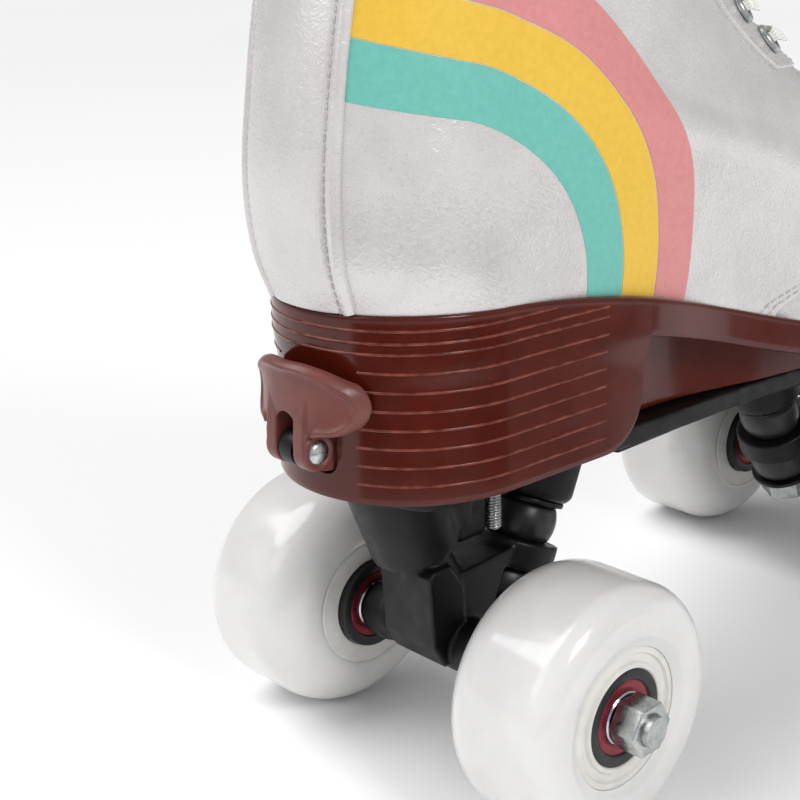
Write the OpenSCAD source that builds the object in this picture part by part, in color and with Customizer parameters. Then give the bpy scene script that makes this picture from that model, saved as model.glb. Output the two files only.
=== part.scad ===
// Clip-on roller skate for a right foot: laced boot on a heeled sole, wheel chassis held by a heel lever.
// Millimetres. +X is the toe, +Y the inner side, +Z up. The floor under the wheels is z = 0.

/* [Wheels] */
// Diameter of a wheel
wheel_d = 58; // [54:1:62]
// Width of a wheel
wheel_w = 31; // [30:1:34]
// Rounding of the tyre's edge on the side of the truck
edge_in = 11.5; // [8:0.5:12]
// Rounding of the tyre's outer edge
edge_out = 6; // [4:0.5:8]
// Diameter of the core inside the tyre
core_d = 32; // [30:1:34]
// Outside diameter of a bearing
bearing_d = 22; // [20:1:24]
// Width of a bearing
bearing_w = 7; // [6:0.5:8]
// How deep the outer bearing lies in the wheel's face
bearing_set = 1.2; // [0.8:0.1:3]
// How far the inner bearing stands out of the wheel's face
bearing_proud = 2; // [1:0.1:2.5]
// Distance between the middles of the two wheels on an axle
track = 81; // [80:1:92]
// Distance between the two axles
wheelbase = 160; // [156:1:166]

/* [Trucks] */
// Diameter of an axle
axle_d = 7; // [6:0.5:8]
// Diameter of the hanger tube
tube_d = 13; // [12:1:16]
// Diameter of a kingpin
kingpin_d = 8; // [7:0.5:9]
// Diameter of the hanger's ring round the kingpin
ring_d = 21; // [20:1:24]
// Thickness of the hanger's ring
ring_t = 6.8; // [5:0.2:7.4]
// Diameter of a cushion
cushion_d = 17; // [15:1:19]
// Diameter of the pivot ball
ball_d = 8.4; // [7:0.2:8.8]
// Wall of a pivot cup
cup_wall = 1.3; // [1:0.1:1.6]
// Lean of the kingpin towards the skate's middle, degrees
kingpin_lean = 24; // [20:1:28]

/* [Chassis] */
// Height of the plate's top over the axles
deck_rise = 47; // [45:1:52]
// Thickness of the plate
plate_t = 5; // [4:0.5:6]
// Depth of the two ribs under the plate
rib_h = 7; // [4:0.5:9]
// Diameter of the bar in the sole that the front hooks hold
hook_bar_d = 4; // [3.5:0.5:4.5]
// Diameter of the two catch bolts
catch_bolt_d = 4; // [4:0.5:5]
// Diameter of the toe stop
toe_stop_d = 34; // [28:1:34]
// Height of the toe stop's rubber
toe_stop_h = 20; // [16:1:22]
// Diameter of the toe stop's stem
stem_d = 16; // [12:1:16]

/* [Sole] */
// Length of the sole
sole_l = 259; // [255:1:264]
// Height of the heel at its back
heel_h = 40.3; // [38:0.1:43]
// Thickness of the sole under the ball of the foot
fore_h = 11.5; // [11:0.1:13]
// Height of the sole's band over the waist
band_h = 8.6; // [7:0.2:9.6]
// Half width of the heel at its top
heel_r = 29.4; // [28.5:0.1:30.5]
// Outward spread of the heel towards the floor
heel_spread = 0.9; // [0:0.1:1.5]
// Half width of the sole at the ball
ball_r = 43; // [40:0.5:45]
// Half width of the sole at the waist
waist_r = 30.4; // [29:0.2:32]
// Pitch of the thin heel ribs
rib_pitch = 3.95; // [3.6:0.05:4.2]
// How far a heel rib stands out
rib_out = 0.35; // [0.2:0.05:0.5]

/* [Boot] */
// Height of the collar over the plate
boot_h = 152; // [142:1:160]
// Length of the collar from back to front
collar_l = 83; // [78:1:88]
// Half width of the collar
collar_r = 35.5; // [33:0.5:38]
// Thickness of the upper
upper_t = 1.8; // [1.4:0.1:2]
// Thickness of the padded lining
lining_t = 2.6; // [2:0.1:3]
// Thickness of the strips sewn on the upper
overlay_t = 0.8; // [0.5:0.1:1]
// Width of each coloured stripe
stripe_w = 10.7; // [8:0.1:11]
// Rows of eyelets on each side
eyelet_rows = 7; // [5:1:8]

/* [Clip lever] */
// Half width of the lever's pad
pad_r = 16; // [15:0.5:17.5]
// Thickness of the pad
pad_t = 2.4; // [2:0.1:2.8]
// Radius of the pad's bend round the heel
pad_bend = 19; // [19:0.5:22]
// Thickness of each lever ear
ear_t = 3.6; // [3:0.1:4]
// Radius of the rounded end of an ear
ear_r = 4.2; // [4:0.1:4.4]
// Diameter of the lever's pin
pin_d = 3.2; // [2.6:0.1:3.6]
// Swing of the lever when the clip is open, degrees
lever_swing = 80; // [70:1:80]
// Travel of the draw frame over that swing
stroke = 6; // [5:0.1:6]
// Thickness of the lug between the ears
lug_t = 3.8; // [3.4:0.1:4.2]

/* [Clearances] */
// Gap between the sole and the plate under it
seat_gap = 0.2; // [0.15:0.05:0.4]
// Radial running clearance of bearings, pins and hooks
run_gap = 0.05; // [0.03:0.01:0.08]
// Gap between moving plates that face one another
side_gap = 0.4; // [0.3:0.05:0.5]
// Gap between layers of the upper
layer_gap = 0.3; // [0.25:0.05:0.35]

/* [Hidden] */
$fn = 40;
eps = 0.01;
axle_z = wheel_d/2;
deck = axle_z + deck_rise;
under = deck - plate_t;
floor_z = deck + seat_gap;

// sole outline
heel_back = -37;
toe_x = heel_back + sole_l;
heel_c = heel_back + heel_r;
breast_x = 35;
waist_x = 64;
ball_x = 128;
cap_x = toe_x - 50;
toe_spring = 4.5;
toe_lift = 6;
heel_share = 0.25;
cap_share = 0.66;

// clip
pin_x = -40;
pin_z = deck + 11.5;
cam_r = ear_r + 2;
thrust_x = pin_x + cam_r + stroke + 0.15;
lug_half = lug_t/2;
ear_in = lug_half + side_gap;
ear_out = ear_in + ear_t;
pocket_half = ear_out + 1.4;
bar_low = pin_z - 3;
bar_high = pin_z + 3;
guide_t = 7;
spring_l = 9.6;
frame_back = thrust_x + guide_t + spring_l + 0.1;
frame_front = frame_back + 31;
window_back = frame_back + 4;
window_front = frame_front - 4;
nose_tip = window_front - 6;
frame_half = 13.1;
rail_in = frame_half + 0.3;
rail_out = rail_in + 2.2;
cavity_half = rail_out + 0.2;
guide_low = bar_low - 2.5;
roof_z = bar_low + 11.1;
roof_t = 3;
cavity_top = roof_z + roof_t + 0.1;
cavity_front = frame_front + stroke + 1.5;
post_x = window_back + stroke + 2;
catch_x = 9.5;
catch_y = 7.5;
hook_x = 186;
hook_z = deck + 4.4;

// trucks
pivot_at = [-9, 0, axle_z + 29];
ring_at = [24, 0, axle_z + 14];
pivot_lean = 21;
web_front = ring_at[0] - ring_d/2 + 3.5;
pedestal_end = 3;
cup_r = ball_d/2 + 0.2 + cup_wall;
bear_in = -wheel_w/2 - bearing_proud;
bear_out = wheel_w/2 - bearing_set;
collar_y = track/2 + bear_in - 0.3;
hub_y = collar_y - 1.2;
nut_y = track/2 + bear_out + 0.3;
nut_t = 6.5;
axle_half = nut_y + nut_t + 1.5;
stop_x = wheelbase + 27;
stop_reach = 43;
stop_socket = 10;
stop_lean = 27;

// middle of the whole skate, from the lever's back to the toe
frame_x = (toe_x + pin_x)/2 - 2;

function mix(a, b, t) = a + (b - a)*t;
function clamp01(t) = max(0, min(1, t));
function ease(t) = let(c = clamp01(t)) c*c*(3 - 2*c);

// smooth curve through [position, value] stations
function seat_of(tb, x, i = 0) = (i >= len(tb) - 2 || x < tb[i + 1][0]) ? i : seat_of(tb, x, i + 1);
function lean_of(tb, i) =
  let(a = max(0, i - 1), b = min(len(tb) - 1, i + 1)) (tb[b][1] - tb[a][1])/(tb[b][0] - tb[a][0]);
function curve(tb, x) =
  let(
    i = seat_of(tb, x),
    h = tb[i + 1][0] - tb[i][0],
    t = (x - tb[i][0])/h,
    c = max(0, min(1, t)),
    m0 = lean_of(tb, i)*h,
    m1 = lean_of(tb, i + 1)*h,
    v = tb[i][1]*(2*c^3 - 3*c^2 + 1) + m0*(c^3 - 2*c^2 + c) + tb[i + 1][1]*(3*c^2 - 2*c^3) + m1*(c^3 - c^2)
  ) v + (t - c)*(t > 1 ? m1 : m0);

// half width and middle line of the sole
function half_w(x) = curve([
  [heel_c, heel_r],
  [breast_x, heel_r + 1.6],
  [waist_x, waist_r],
  [ball_x, ball_r],
  [cap_x, ball_r - 2]
], x);
function mid_y(x) = curve([[heel_c, 0], [waist_x, -2.5], [ball_x, 0.5], [cap_x, 4.5], [toe_x, 7]], x);

// top and bottom of the sole along its length
function drop_of(x) = (1 + cos(180*pow(clamp01((x - heel_back)/(ball_x - heel_back)), 1.35)))/2;
function feather(x) =
  deck + fore_h + (heel_h - fore_h)*drop_of(x) + toe_spring*pow(clamp01((x - cap_x)/50), 2);
function sole_low(x) =
  mix(feather(x) - band_h, floor_z, ease((x - 92)/33)) + toe_lift*pow(clamp01((x - 188)/(toe_x - 188)), 1.5);

// point of the sole's outline: share runs 0 at the heel to 1 at the toe, below zero on the outer side
function sole_xy(share, inset) =
  let(
    u = abs(share),
    sg = share < 0 ? -1 : 1,
    a = u < heel_share ? 90*u/heel_share : 90*clamp01((u - cap_share)/(1 - cap_share)),
    x = u < heel_share ? heel_back + inset + (heel_r - inset)*(1 - cos(a))
      : u < cap_share ? mix(heel_c, cap_x, (u - heel_share)/(cap_share - heel_share))
      : cap_x + (toe_x - inset - cap_x)*pow(sin(a), 0.87),
    h = u < heel_share ? (heel_r - inset)*sin(a)
      : u < cap_share ? half_w(x) - inset
      : (half_w(cap_x) - inset)*pow(max(0, cos(a)), 0.87)
  ) [x, mid_y(x) + sg*h];
function ring_share(i, n) = i <= n/2 ? -2*i/n : 2*(n - i)/n;

// closed solid through rings that run round the foot, its two ends closed from side to side
module ring_loft(rings) {
  n = len(rings[0]);
  m = len(rings);
  h = n/2;
  low = [
    [0, 1, n - 1],
    for (k = [1:h - 2]) [k, k + 1, n - k - 1],
    for (k = [1:h - 2]) [k, n - k - 1, n - k],
    [h - 1, h, h + 1]
  ];
  wall = [
    for (j = [0:m - 2])
      for (i = [0:n - 1])
        let(a = j*n + i, b = j*n + (i + 1)%n)
          each [[a, a + n, b + n], [a, b + n, b]]
  ];
  high = [for (f = low) [f[2], f[1], f[0]] + (m - 1)*n*[1, 1, 1]];
  polyhedron(points = [for (r = rings) each r], faces = concat(low, wall, high));
}

// profiles of the upper from the sole (0) to the collar (1)
back_x = [heel_back + 0.5, -40.2, -41.4, -39, -34, -33];
back_z = [0, 0.1, 0.235, 0.42, 0.69, 1];
front_x = [toe_x - 1.2, toe_x - 4, 188, 122, 70, collar_l - 33];
front_z = [0, 0.155, 0.31, 0.425, 0.69, 0.985];
heel_half = [heel_r - 0.6, 30.4, 31, 30, 30, collar_r - 0.6];
waist_half = [waist_r - 0.6, 32.4, 34.5, 34, 32, collar_r];
ball_half = [ball_r - 0.6, ball_r - 1.8, 37.5, 34, 32.3, collar_r];
cap_half = [ball_r - 2.6, ball_r - 4.8, 36.5, 33.2, 32, collar_r];
heel_cap = [29, 31, 33, 33, 34, 40];
front_cap = [49, 60, 95, 90, 56, 41];
heel_z = deck + heel_h + 0.25;
toe_z = deck + fore_h + toe_spring + 0.25;
collar_z = deck + boot_h;
collar_dip = 8;

function prof(tb, v) = curve([for (i = [0:len(tb) - 1]) [i/(len(tb) - 1), tb[i]]], v);
function heel_rise(v) = mix(heel_z, collar_z, prof(back_z, v));
function toe_rise(v) = mix(toe_z, collar_z, prof(front_z, v));

// point of the upper's outer face: share as on the sole, level 0 at the sole to 1 at the collar
function face_at(share, v) =
  let(
    w = share > 1 ? share - 2 : (share < -1 ? share + 2 : share),
    u = abs(w),
    sg = w < 0 ? -1 : 1,
    xb = prof(back_x, v),
    xf = prof(front_x, v),
    hl = prof(heel_cap, v),
    cl = prof(front_cap, v),
    wh = prof(heel_half, v),
    wf = prof(cap_half, v),
    e = mix(0.87, 1, clamp01(v/0.5)),
    a = u < heel_share ? 90*u/heel_share : 90*clamp01((u - cap_share)/(1 - cap_share)),
    t = clamp01((u - heel_share)/(cap_share - heel_share)),
    x = u < heel_share ? xb + hl*(1 - cos(a))
      : u < cap_share ? mix(xb + hl, xf - cl, t)
      : xf - cl + cl*pow(sin(a), e),
    h = u < heel_share ? wh*sin(a)
      : u < cap_share ? curve([[0, wh], [0.4, prof(waist_half, v)], [0.75, prof(ball_half, v)], [1, wf]], t)
      : wf*pow(max(0, cos(a)), e),
    s = (x - xb)/(xf - xb),
    s0 = clamp01((x - back_x[0])/(front_x[0] - back_x[0])),
    fade = pow(max(0, 1 - v/0.5), 1.6),
    sag = feather(x) + 0.25 - mix(heel_z, toe_z, s0),
    dip = collar_dip*ease((v - 0.6)/0.4)*pow(sin(180*clamp01(s)), 2)
  ) [x, mid_y(x)*mix(1, 0.15, clamp01(v)) + sg*h, mix(heel_rise(v), toe_rise(v), s) + fade*sag - dip];
function unit(p) = p/norm(p);
function out_of(share, v) =
  unit(cross(
    face_at(share, v + 0.004) - face_at(share, v - 0.004),
    face_at(share + 0.004, v) - face_at(share - 0.004, v)
  ));
function lift_at(q, d) = face_at(q[0], q[1]) + (d + (len(q) > 2 ? q[2] : 0))*out_of(q[0], q[1]);

// closed sheet between two depths over rows of [share, level, added depth]
module skin(grid, lo, hi) {
  m = len(grid) - 1;
  n = len(grid[0]) - 1;
  k = (m + 1)*(n + 1);
  outer = [
    for (j = [0:m - 1])
      for (i = [0:n - 1])
        let(a = j*(n + 1) + i, b = a + n + 1)
          each [[a, a + 1, b + 1], [a, b + 1, b]]
  ];
  inner = [for (f = outer) [f[2] + k, f[1] + k, f[0] + k]];
  foot = [for (i = [0:n - 1]) each [[i + 1, i, i + k], [i + 1, i + k, i + 1 + k]]];
  head = [
    for (i = [0:n - 1])
      let(a = m*(n + 1) + i)
        each [[a, a + 1, a + 1 + k], [a, a + 1 + k, a + k]]
  ];
  near = [
    for (j = [0:m - 1])
      let(a = j*(n + 1), b = a + n + 1)
        each [[a, b, b + k], [a, b + k, a + k]]
  ];
  far = [
    for (j = [0:m - 1])
      let(a = j*(n + 1) + n, b = a + n + 1)
        each [[b, a, a + k], [b, a + k, b + k]]
  ];
  polyhedron(
    points = concat(
      [for (r = grid) for (q = r) lift_at(q, hi)],
      [for (r = grid) for (q = r) lift_at(q, lo)]
    ),
    faces = concat(outer, inner, foot, head, near, far)
  );
}

// seams of the upper
throat_v = 0.62;
eye_share = 0.885;
top_v = 0.965;
function front_seam(v) = v < throat_v ? mix(0.45, eye_share, pow(v/throat_v, 1.3)) : eye_share;
function strip_half(v) = mix(0.074, 0.082, v);
// level of a part f of the way up to the edge under the collar roll
roll_gap = 5.4;
function top_at(share) = 1 - roll_gap*0.04/norm(face_at(share, 1) - face_at(share, 0.96));
function level_at(share, f) = f*top_at(share);
edge_v = top_at(eye_share);

module shown(c) {
  translate([-frame_x, 0, 0])
    color(c)
      children();
}

// side outline in x and z, drawn through the skate's width
module through(w) {
  rotate([90, 0, 0])
    linear_extrude(height = w, center = true)
      children();
}

module cross_rod(d, w) {
  rotate([90, 0, 0])
    cylinder(d = d, h = w, center = true);
}

// SOLE

function sole_ring(n, inset, low, up) = [
  for (i = [0:n - 1])
    let(p = sole_xy(ring_share(i, n), inset))
      [p[0], p[1], (low ? sole_low(p[0]) : feather(p[0])) + up]
];

module sole_band() {
  shown("#541c10")
    difference() {
      ring_loft([
        sole_ring(72, 0.7, true, 0),
        sole_ring(72, 0, true, 0.9),
        sole_ring(72, 0, false, -0.9),
        sole_ring(72, 0.6, false, 0)
      ]);
      for (s = [-1, 1])
        translate([hook_x - 7, s*12 - 3.7, deck - 4])
          cube([15, 7.4, 4 + 9.2]);
      translate([hook_x, 0, hook_z])
        cross_rod(hook_bar_d + 0.04, 44.4);
    }
}

function heel_back_at(z) = heel_back - 0.4 + 1.3*clamp01((z - deck)/heel_h);
function heel_r_at(z) = heel_r + heel_spread*(1 - clamp01((z - deck)/heel_h));

function heel_pts(z, grow, end_x) =
  let(r = heel_r_at(z), c = heel_back_at(z) + r, f = r + grow + 0.045*(end_x - c))
    concat(
      [for (i = [0:15]) [c - (r + grow)*cos(6*i), -(r + grow)*sin(6*i), z]],
      [[end_x, -f, z], [end_x, 0, z], [end_x, f, z]],
      [for (i = [15:-1:1]) [c - (r + grow)*cos(6*i), (r + grow)*sin(6*i), z]]
    );

heel_first = 4.6;
heel_end = 24;
heel_ribs = 7;

module heel_form() {
  ring_loft([heel_pts(floor_z, 0, breast_x + 2), heel_pts(deck + heel_h, 0, breast_x + 2)]);
  for (k = [0:heel_ribs - 1])
    translate([0, 0, deck + heel_first + k*rib_pitch - 0.25])
      linear_extrude(height = 0.5)
        polygon([for (p = heel_pts(deck + heel_first + k*rib_pitch, rib_out, heel_end)) [p[0], p[1]]]);
}

// side outline of what is cut away in front of the heel
module breast_cut() {
  r = 12;
  polygon(concat(
    [[breast_x - 18, floor_z - 1.4]],
    [for (a = [-72:12:-12]) [breast_x - 2.5 - r + r*cos(a), floor_z + r + r*sin(a)]],
    [[breast_x, deck + 26], [breast_x + 1, deck + 60], [breast_x + 20, deck + 60]],
    [[breast_x + 20, floor_z - 1.4]]
  ));
}

// side outline of what is cut away over the heel, for the sole's band
module band_cut() {
  polygon(concat(
    [[-60, deck + 70], [-60, sole_low(heel_back) - layer_gap]],
    [for (x = [heel_back:6:breast_x + 12]) [x, sole_low(x) - layer_gap]],
    [[60, deck + 70]]
  ));
}

module waist_web() {
  xs = [for (x = [breast_x - 5:6:110]) x];
  n = len(xs) - 1;
  intersection() {
    translate([0, 0, floor_z + 0.3])
      linear_extrude(height = 40)
        polygon(concat(
          [for (x = xs) [x, mid_y(x) - half_w(x) + mix(15, 11, clamp01((x - breast_x)/50))]],
          [for (i = [n:-1:0]) let(x = xs[i])
            [x, mid_y(x) + half_w(x) - mix(15, 11, clamp01((x - breast_x)/50))]]
        ));
    through(120)
      polygon(concat(
        [[breast_x - 8, floor_z - 5], [112, floor_z - 5]],
        [for (i = [n:-1:1]) [xs[i], sole_low(xs[i]) - layer_gap]],
        [[breast_x - 1, sole_low(breast_x) - 6], [breast_x - 8, sole_low(breast_x) - 6]]
      ));
  }
}

module pocket_outline() {
  r = 3;
  low = deck + 5.6;
  high = pin_z + 14;
  polygon(concat(
    [for (a = [180:15:270]) [-pocket_half + r + r*cos(a), low + r + r*sin(a)]],
    [for (a = [270:15:360]) [pocket_half - r + r*cos(a), low + r + r*sin(a)]],
    [for (a = [0:15:90]) [pocket_half - r + r*cos(a), high - r + r*sin(a)]],
    [for (a = [90:15:180]) [-pocket_half + r + r*cos(a), high - r + r*sin(a)]]
  ));
}

module heel_block() {
  shown("#541c10")
    difference() {
      union() {
        difference() {
          heel_form();
          through(90)
            breast_cut();
          through(90)
            band_cut();
        }
        waist_web();
      }
      translate([thrust_x + guide_t - 0.05, -cavity_half, deck - 5])
        cube([cavity_front - thrust_x - guide_t, 2*cavity_half, cavity_top - deck + 5]);
      translate([-70, 0, 0])
        rotate([90, 0, 90])
          linear_extrude(height = thrust_x + guide_t + 70)
            pocket_outline();
      guide_screw_places()
        translate([0, 0, -1])
          cylinder(d = 3.1, h = 5.2);
    }
}

module guide_screw_places() {
  for (x = [thrust_x + 12, cavity_front - 8])
    for (s = [-1, 1])
      translate([x, s*9.5, cavity_top])
        children();
}

module latch_guide() {
  x0 = thrust_x + guide_t;
  shown("#2b2b2d")
    difference() {
      union() {
        translate([thrust_x, -pocket_half + 0.2, deck + 7.6])
          cube([guide_t + eps, 2*pocket_half - 0.4, roof_z + roof_t - deck - 7.6]);
        translate([x0, -rail_out, roof_z])
          cube([cavity_front - x0 - 0.5, 2*rail_out, roof_t]);
        for (s = [-1, 1])
          translate([x0, s*(rail_in + rail_out)/2 - (rail_out - rail_in)/2, guide_low])
            cube([cavity_front - x0 - 0.5, rail_out - rail_in, roof_z - guide_low + eps]);
        for (s = [-1, 1])
          translate([x0, s*(rail_in - 0.9) - 0.9 - eps, guide_low])
            cube([cavity_front - x0 - 0.5, 1.8 + 2*eps, 2.2]);
      }
      translate([thrust_x - 1, -lug_half - 0.3, bar_low - 0.3])
        cube([guide_t + 2, lug_t + 0.6, bar_high - bar_low + 0.6]);
      guide_screw_places()
        translate([0, 0, -roof_t - 1])
          cylinder(d = 3.2, h = roof_t + 2);
    }
}

module guide_screws() {
  shown("#b9bcc0")
    guide_screw_places() {
      translate([0, 0, -roof_t - 0.15])
        cylinder(d = 3, h = roof_t + 3.8);
      translate([0, 0, -roof_t - 2.15])
        cylinder(d = 5.6, h = 2);
    }
}

module hook_bar() {
  shown("#b9bcc0")
    translate([hook_x, 0, hook_z])
      cross_rod(hook_bar_d, 44);
}

// UPPER

function bed_ring(n, inset, up) = [
  for (i = [0:n - 1])
    let(p = sole_xy(ring_share(i, n), inset))
      [p[0], p[1], feather(p[0]) + up]
];

module insole_board() {
  inset = upper_t + lining_t + 1.8;
  shown("#c9b48f")
    ring_loft([bed_ring(56, inset, 0.3), bed_ring(56, inset, 2.2)]);
}

module footbed() {
  inset = upper_t + lining_t + 2.2;
  shown("#8f8a86")
    ring_loft([bed_ring(56, inset, 2.5), bed_ring(56, inset, 5), bed_ring(56, inset + 1.2, 6)]);
}

module vamp() {
  n = 28;
  shown("#d7d2d2")
    skin([
      for (j = [0:12])
        let(v = throat_v*j/12, w = 1 - front_seam(v) - 0.003)
          [for (i = [0:n]) [1 + w*(2*i/n - 1), v]]
    ], -upper_t, 0);
}

module quarter(side) {
  n = 24;
  m = 14;
  skin([
    for (j = [0:m])
      let(
        f = front_seam(edge_v*j/m),
        a = side < 0 ? -f : 0.003,
        b = side < 0 ? -0.003 : f
      )
        [for (i = [0:n]) let(u = mix(a, b, i/n)) [u, level_at(u, j/m)]]
  ], -upper_t, 0);
}

module quarter_outer() {
  shown("#d7d2d2")
    quarter(-1);
}

module quarter_inner() {
  shown("#d7d2d2")
    quarter(1);
}

module back_strip() {
  shown("#d7d2d2")
    skin([
      for (f = [for (j = [0:14]) mix(0.004, 1, j/14)])
        [for (i = [0:8]) let(u = strip_half(f)*(i/4 - 1)) [u, level_at(u, f)]]
    ], layer_gap, layer_gap + overlay_t);
}

// [share, level] of the point of one side of the upper at a given x and z
function place_at(x, z, side, u = 0.4, v = 0.3, k = 10) =
  k == 0 ? [side*u, v]
  : let(
      p = face_at(side*u, v),
      pu = (face_at(side*(u + 0.003), v) - p)/0.003,
      pv = (face_at(side*u, v + 0.003) - p)/0.003,
      d = pu[0]*pv[2] - pv[0]*pu[2],
      gx = x - p[0],
      gz = z - p[2],
      du = max(-0.12, min(0.12, (gx*pv[2] - gz*pv[0])/d)),
      dv = max(-0.12, min(0.12, (pu[0]*gz - pu[2]*gx)/d))
    ) place_at(x, z, side, max(0.1, min(0.95, u + du)), max(0, min(0.9, v + dv)), k - 1);

stripe_cx = -32.6;
stripe_cz = deck + 31.8;
stripe_first = 48.4;
stripe_turn = 72;

module stripe(k) {
  r0 = stripe_first + k*stripe_w + (k > 0 ? 0.1 : 0);
  r1 = stripe_first + (k + 1)*stripe_w - 0.1;
  for (side = [-1, 1]) {
    lines = [
      for (j = [0:3])
        let(
          r = mix(r0, r1, j/3),
          a0 = mix(4, -4, (r - stripe_first)/(3*stripe_w)),
          arc = [
            for (i = [0:20])
              let(a = mix(a0, stripe_turn, i/20))
                place_at(stripe_cx + r*cos(a), stripe_cz + r*sin(a), side)
          ],
          last = arc[20],
          end = [side*(strip_half(1) + 0.008), last[1] + 0.03]
        )
          concat(arc, [for (i = [1:11]) [mix(last[0], end[0], i/11), mix(last[1], end[1], i/11)]])
    ];
    cols = len(lines[0]) - 1;
    rows = side < 0 ? lines : [for (j = [3:-1:0]) lines[j]];
    skin([for (l = rows) [for (i = [0:cols]) l[i]]], layer_gap + 0.1, layer_gap + 0.5);
  }
}

module stripe_teal() {
  shown("#78c8b6")
    stripe(0);
}

module stripe_yellow() {
  shown("#eec64b")
    stripe(1);
}

module stripe_pink() {
  shown("#de9492")
    stripe(2);
}

// how much deeper the tongue lies in the middle, where the lace runs straight across
function tongue_dip(v) = max(0, 0.1375*prof(front_cap, v) - upper_t - lining_t - layer_gap - 0.2);

// how much deeper the tongue passes the collar's roll
roll_room = 2;

module tongue() {
  lo = -upper_t - lining_t - layer_gap - 4.6;
  hi = -upper_t - lining_t - layer_gap - 0.6;
  shown("#d7d2d2")
    skin([
      for (j = [0:14])
        let(v = mix(0.55, 1.09, j/14))
          [for (i = [0:12]) [
            1 + 0.17*(i/6 - 1),
            v,
            -tongue_dip(v)*pow(cos(15*(i - 6)), 2)*ease((v - 0.54)/0.06) - roll_room*ease((v - 0.86)/0.06)
          ]]
    ], lo, hi);
}

module lining() {
  n = 40;
  shown("#b7b2ae")
    skin([
      for (j = [0:12])
        let(f = mix(0.1, 1, j/12), w = front_seam(f*edge_v) - 0.006)
          [for (i = [0:n]) let(u = w*(2*i/n - 1)) [u, level_at(u, f)]]
    ], -upper_t - layer_gap - lining_t, -upper_t - layer_gap);
}

module collar_pad() {
  n = 44;
  m = 10;
  ring = [
    for (i = [0:n])
      let(
        u = (eye_share - 0.012)*(2*i/n - 1),
        p = face_at(u, 1),
        o = out_of(u, 1),
        t = unit(face_at(u + 0.004, 1) - face_at(u - 0.004, 1)),
        up = unit(cross(t, o)),
        c = p - 2.5*o
      )
        [for (k = [0:m - 1]) c + 4*cos(360*k/m)*o + 5*sin(360*k/m)*up]
  ];
  wall = [
    for (i = [0:n - 1])
      for (k = [0:m - 1])
        let(a = i*m + k, b = i*m + (k + 1)%m)
          each [[a, a + m, b + m], [a, b + m, b]]
  ];
  shown("#c9c4c2")
    polyhedron(
      points = [for (r = ring) each r],
      faces = concat(wall, [[for (k = [0:m - 1]) k]], [[for (k = [m - 1:-1:0]) n*m + k]])
    );
}

module eyestays() {
  shown("#cfcaca")
    for (s = [-1, 1])
      skin([
        for (j = [0:10])
          let(f = mix(throat_v, 0.995, j/10), a = eye_share - 0.085, b = front_seam(f*edge_v) - 0.003)
            [for (i = [0:6]) let(u = s > 0 ? mix(a, b, i/6) : -mix(b, a, i/6)) [u, level_at(u, f)]]
      ], layer_gap, layer_gap + overlay_t);
}

eyelet_h = 1.1;

module at_eyelet(s, k) {
  v = lace_level(k);
  u = s*(eye_share - 0.034);
  o = out_of(u, v);
  translate(face_at(u, v) + o*(layer_gap + overlay_t + 0.15))
    rotate([0, acos(o[2]), atan2(o[1], o[0])])
      children();
}

module eyelets() {
  shown("#c4c6c9")
    for (s = [-1, 1])
      for (k = [0:eyelet_rows - 1])
        at_eyelet(s, k)
          difference() {
            cylinder(d = 8, h = eyelet_h);
            translate([0, 0, -1])
              cylinder(d = 4.6, h = eyelet_h + 2);
          }
}

// one lace run from eyelet to eyelet, pressed on the tongue
function lace_level(k) = mix(throat_v + 0.03, top_v - 0.035, k/(eyelet_rows - 1));
function lace_mid(k, t) =
  let(
    v = lace_level(k),
    up = layer_gap + overlay_t + eyelet_h + 1.15,
    e0 = lift_at([eye_share - 0.034, v], up),
    e1 = lift_at([0.034 - eye_share, v], up),
    g0 = lift_at([eye_share + 0.004, v], up),
    g1 = lift_at([-0.004 - eye_share, v], up),
    m = (g0 + g1)/2 + 1.2*out_of(1, v)
  ) [for (c = [0:2]) curve([[0, e0[c]], [0.2, g0[c]], [0.5, m[c]], [0.8, g1[c]], [1, e1[c]]], t)];

module lace() {
  n = 12;
  m = 8;
  shown("#efeeec")
    for (k = [0:eyelet_rows - 1]) {
      pts = [
        for (i = [0:n])
          let(
            t = i/n,
            c = lace_mid(k, t),
            d = unit(lace_mid(k, t + 0.02) - lace_mid(k, t - 0.02)),
            o = out_of(1 + (1 - eye_share + 0.034)*(2*t - 1), lace_level(k)),
            b = unit(cross(d, o)),
            q = unit(cross(b, d)),
            w = mix(1.4, 3, ease(2.4*min(t, 1 - t)*2))
          )
            [for (j = [0:m - 1]) c + w*cos(360*j/m)*b + 0.7*sin(360*j/m)*q]
      ];
      wall = [
        for (i = [0:n - 1])
          for (j = [0:m - 1])
            let(a = i*m + j, b = i*m + (j + 1)%m)
              each [[a, b + m, a + m], [a, b, b + m]]
      ];
      polyhedron(
        points = [for (r = pts) each r],
        faces = concat(wall, [[for (j = [m - 1:-1:0]) j]], [[for (j = [0:m - 1]) n*m + j]])
      );
    }
}

// CLIP

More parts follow.
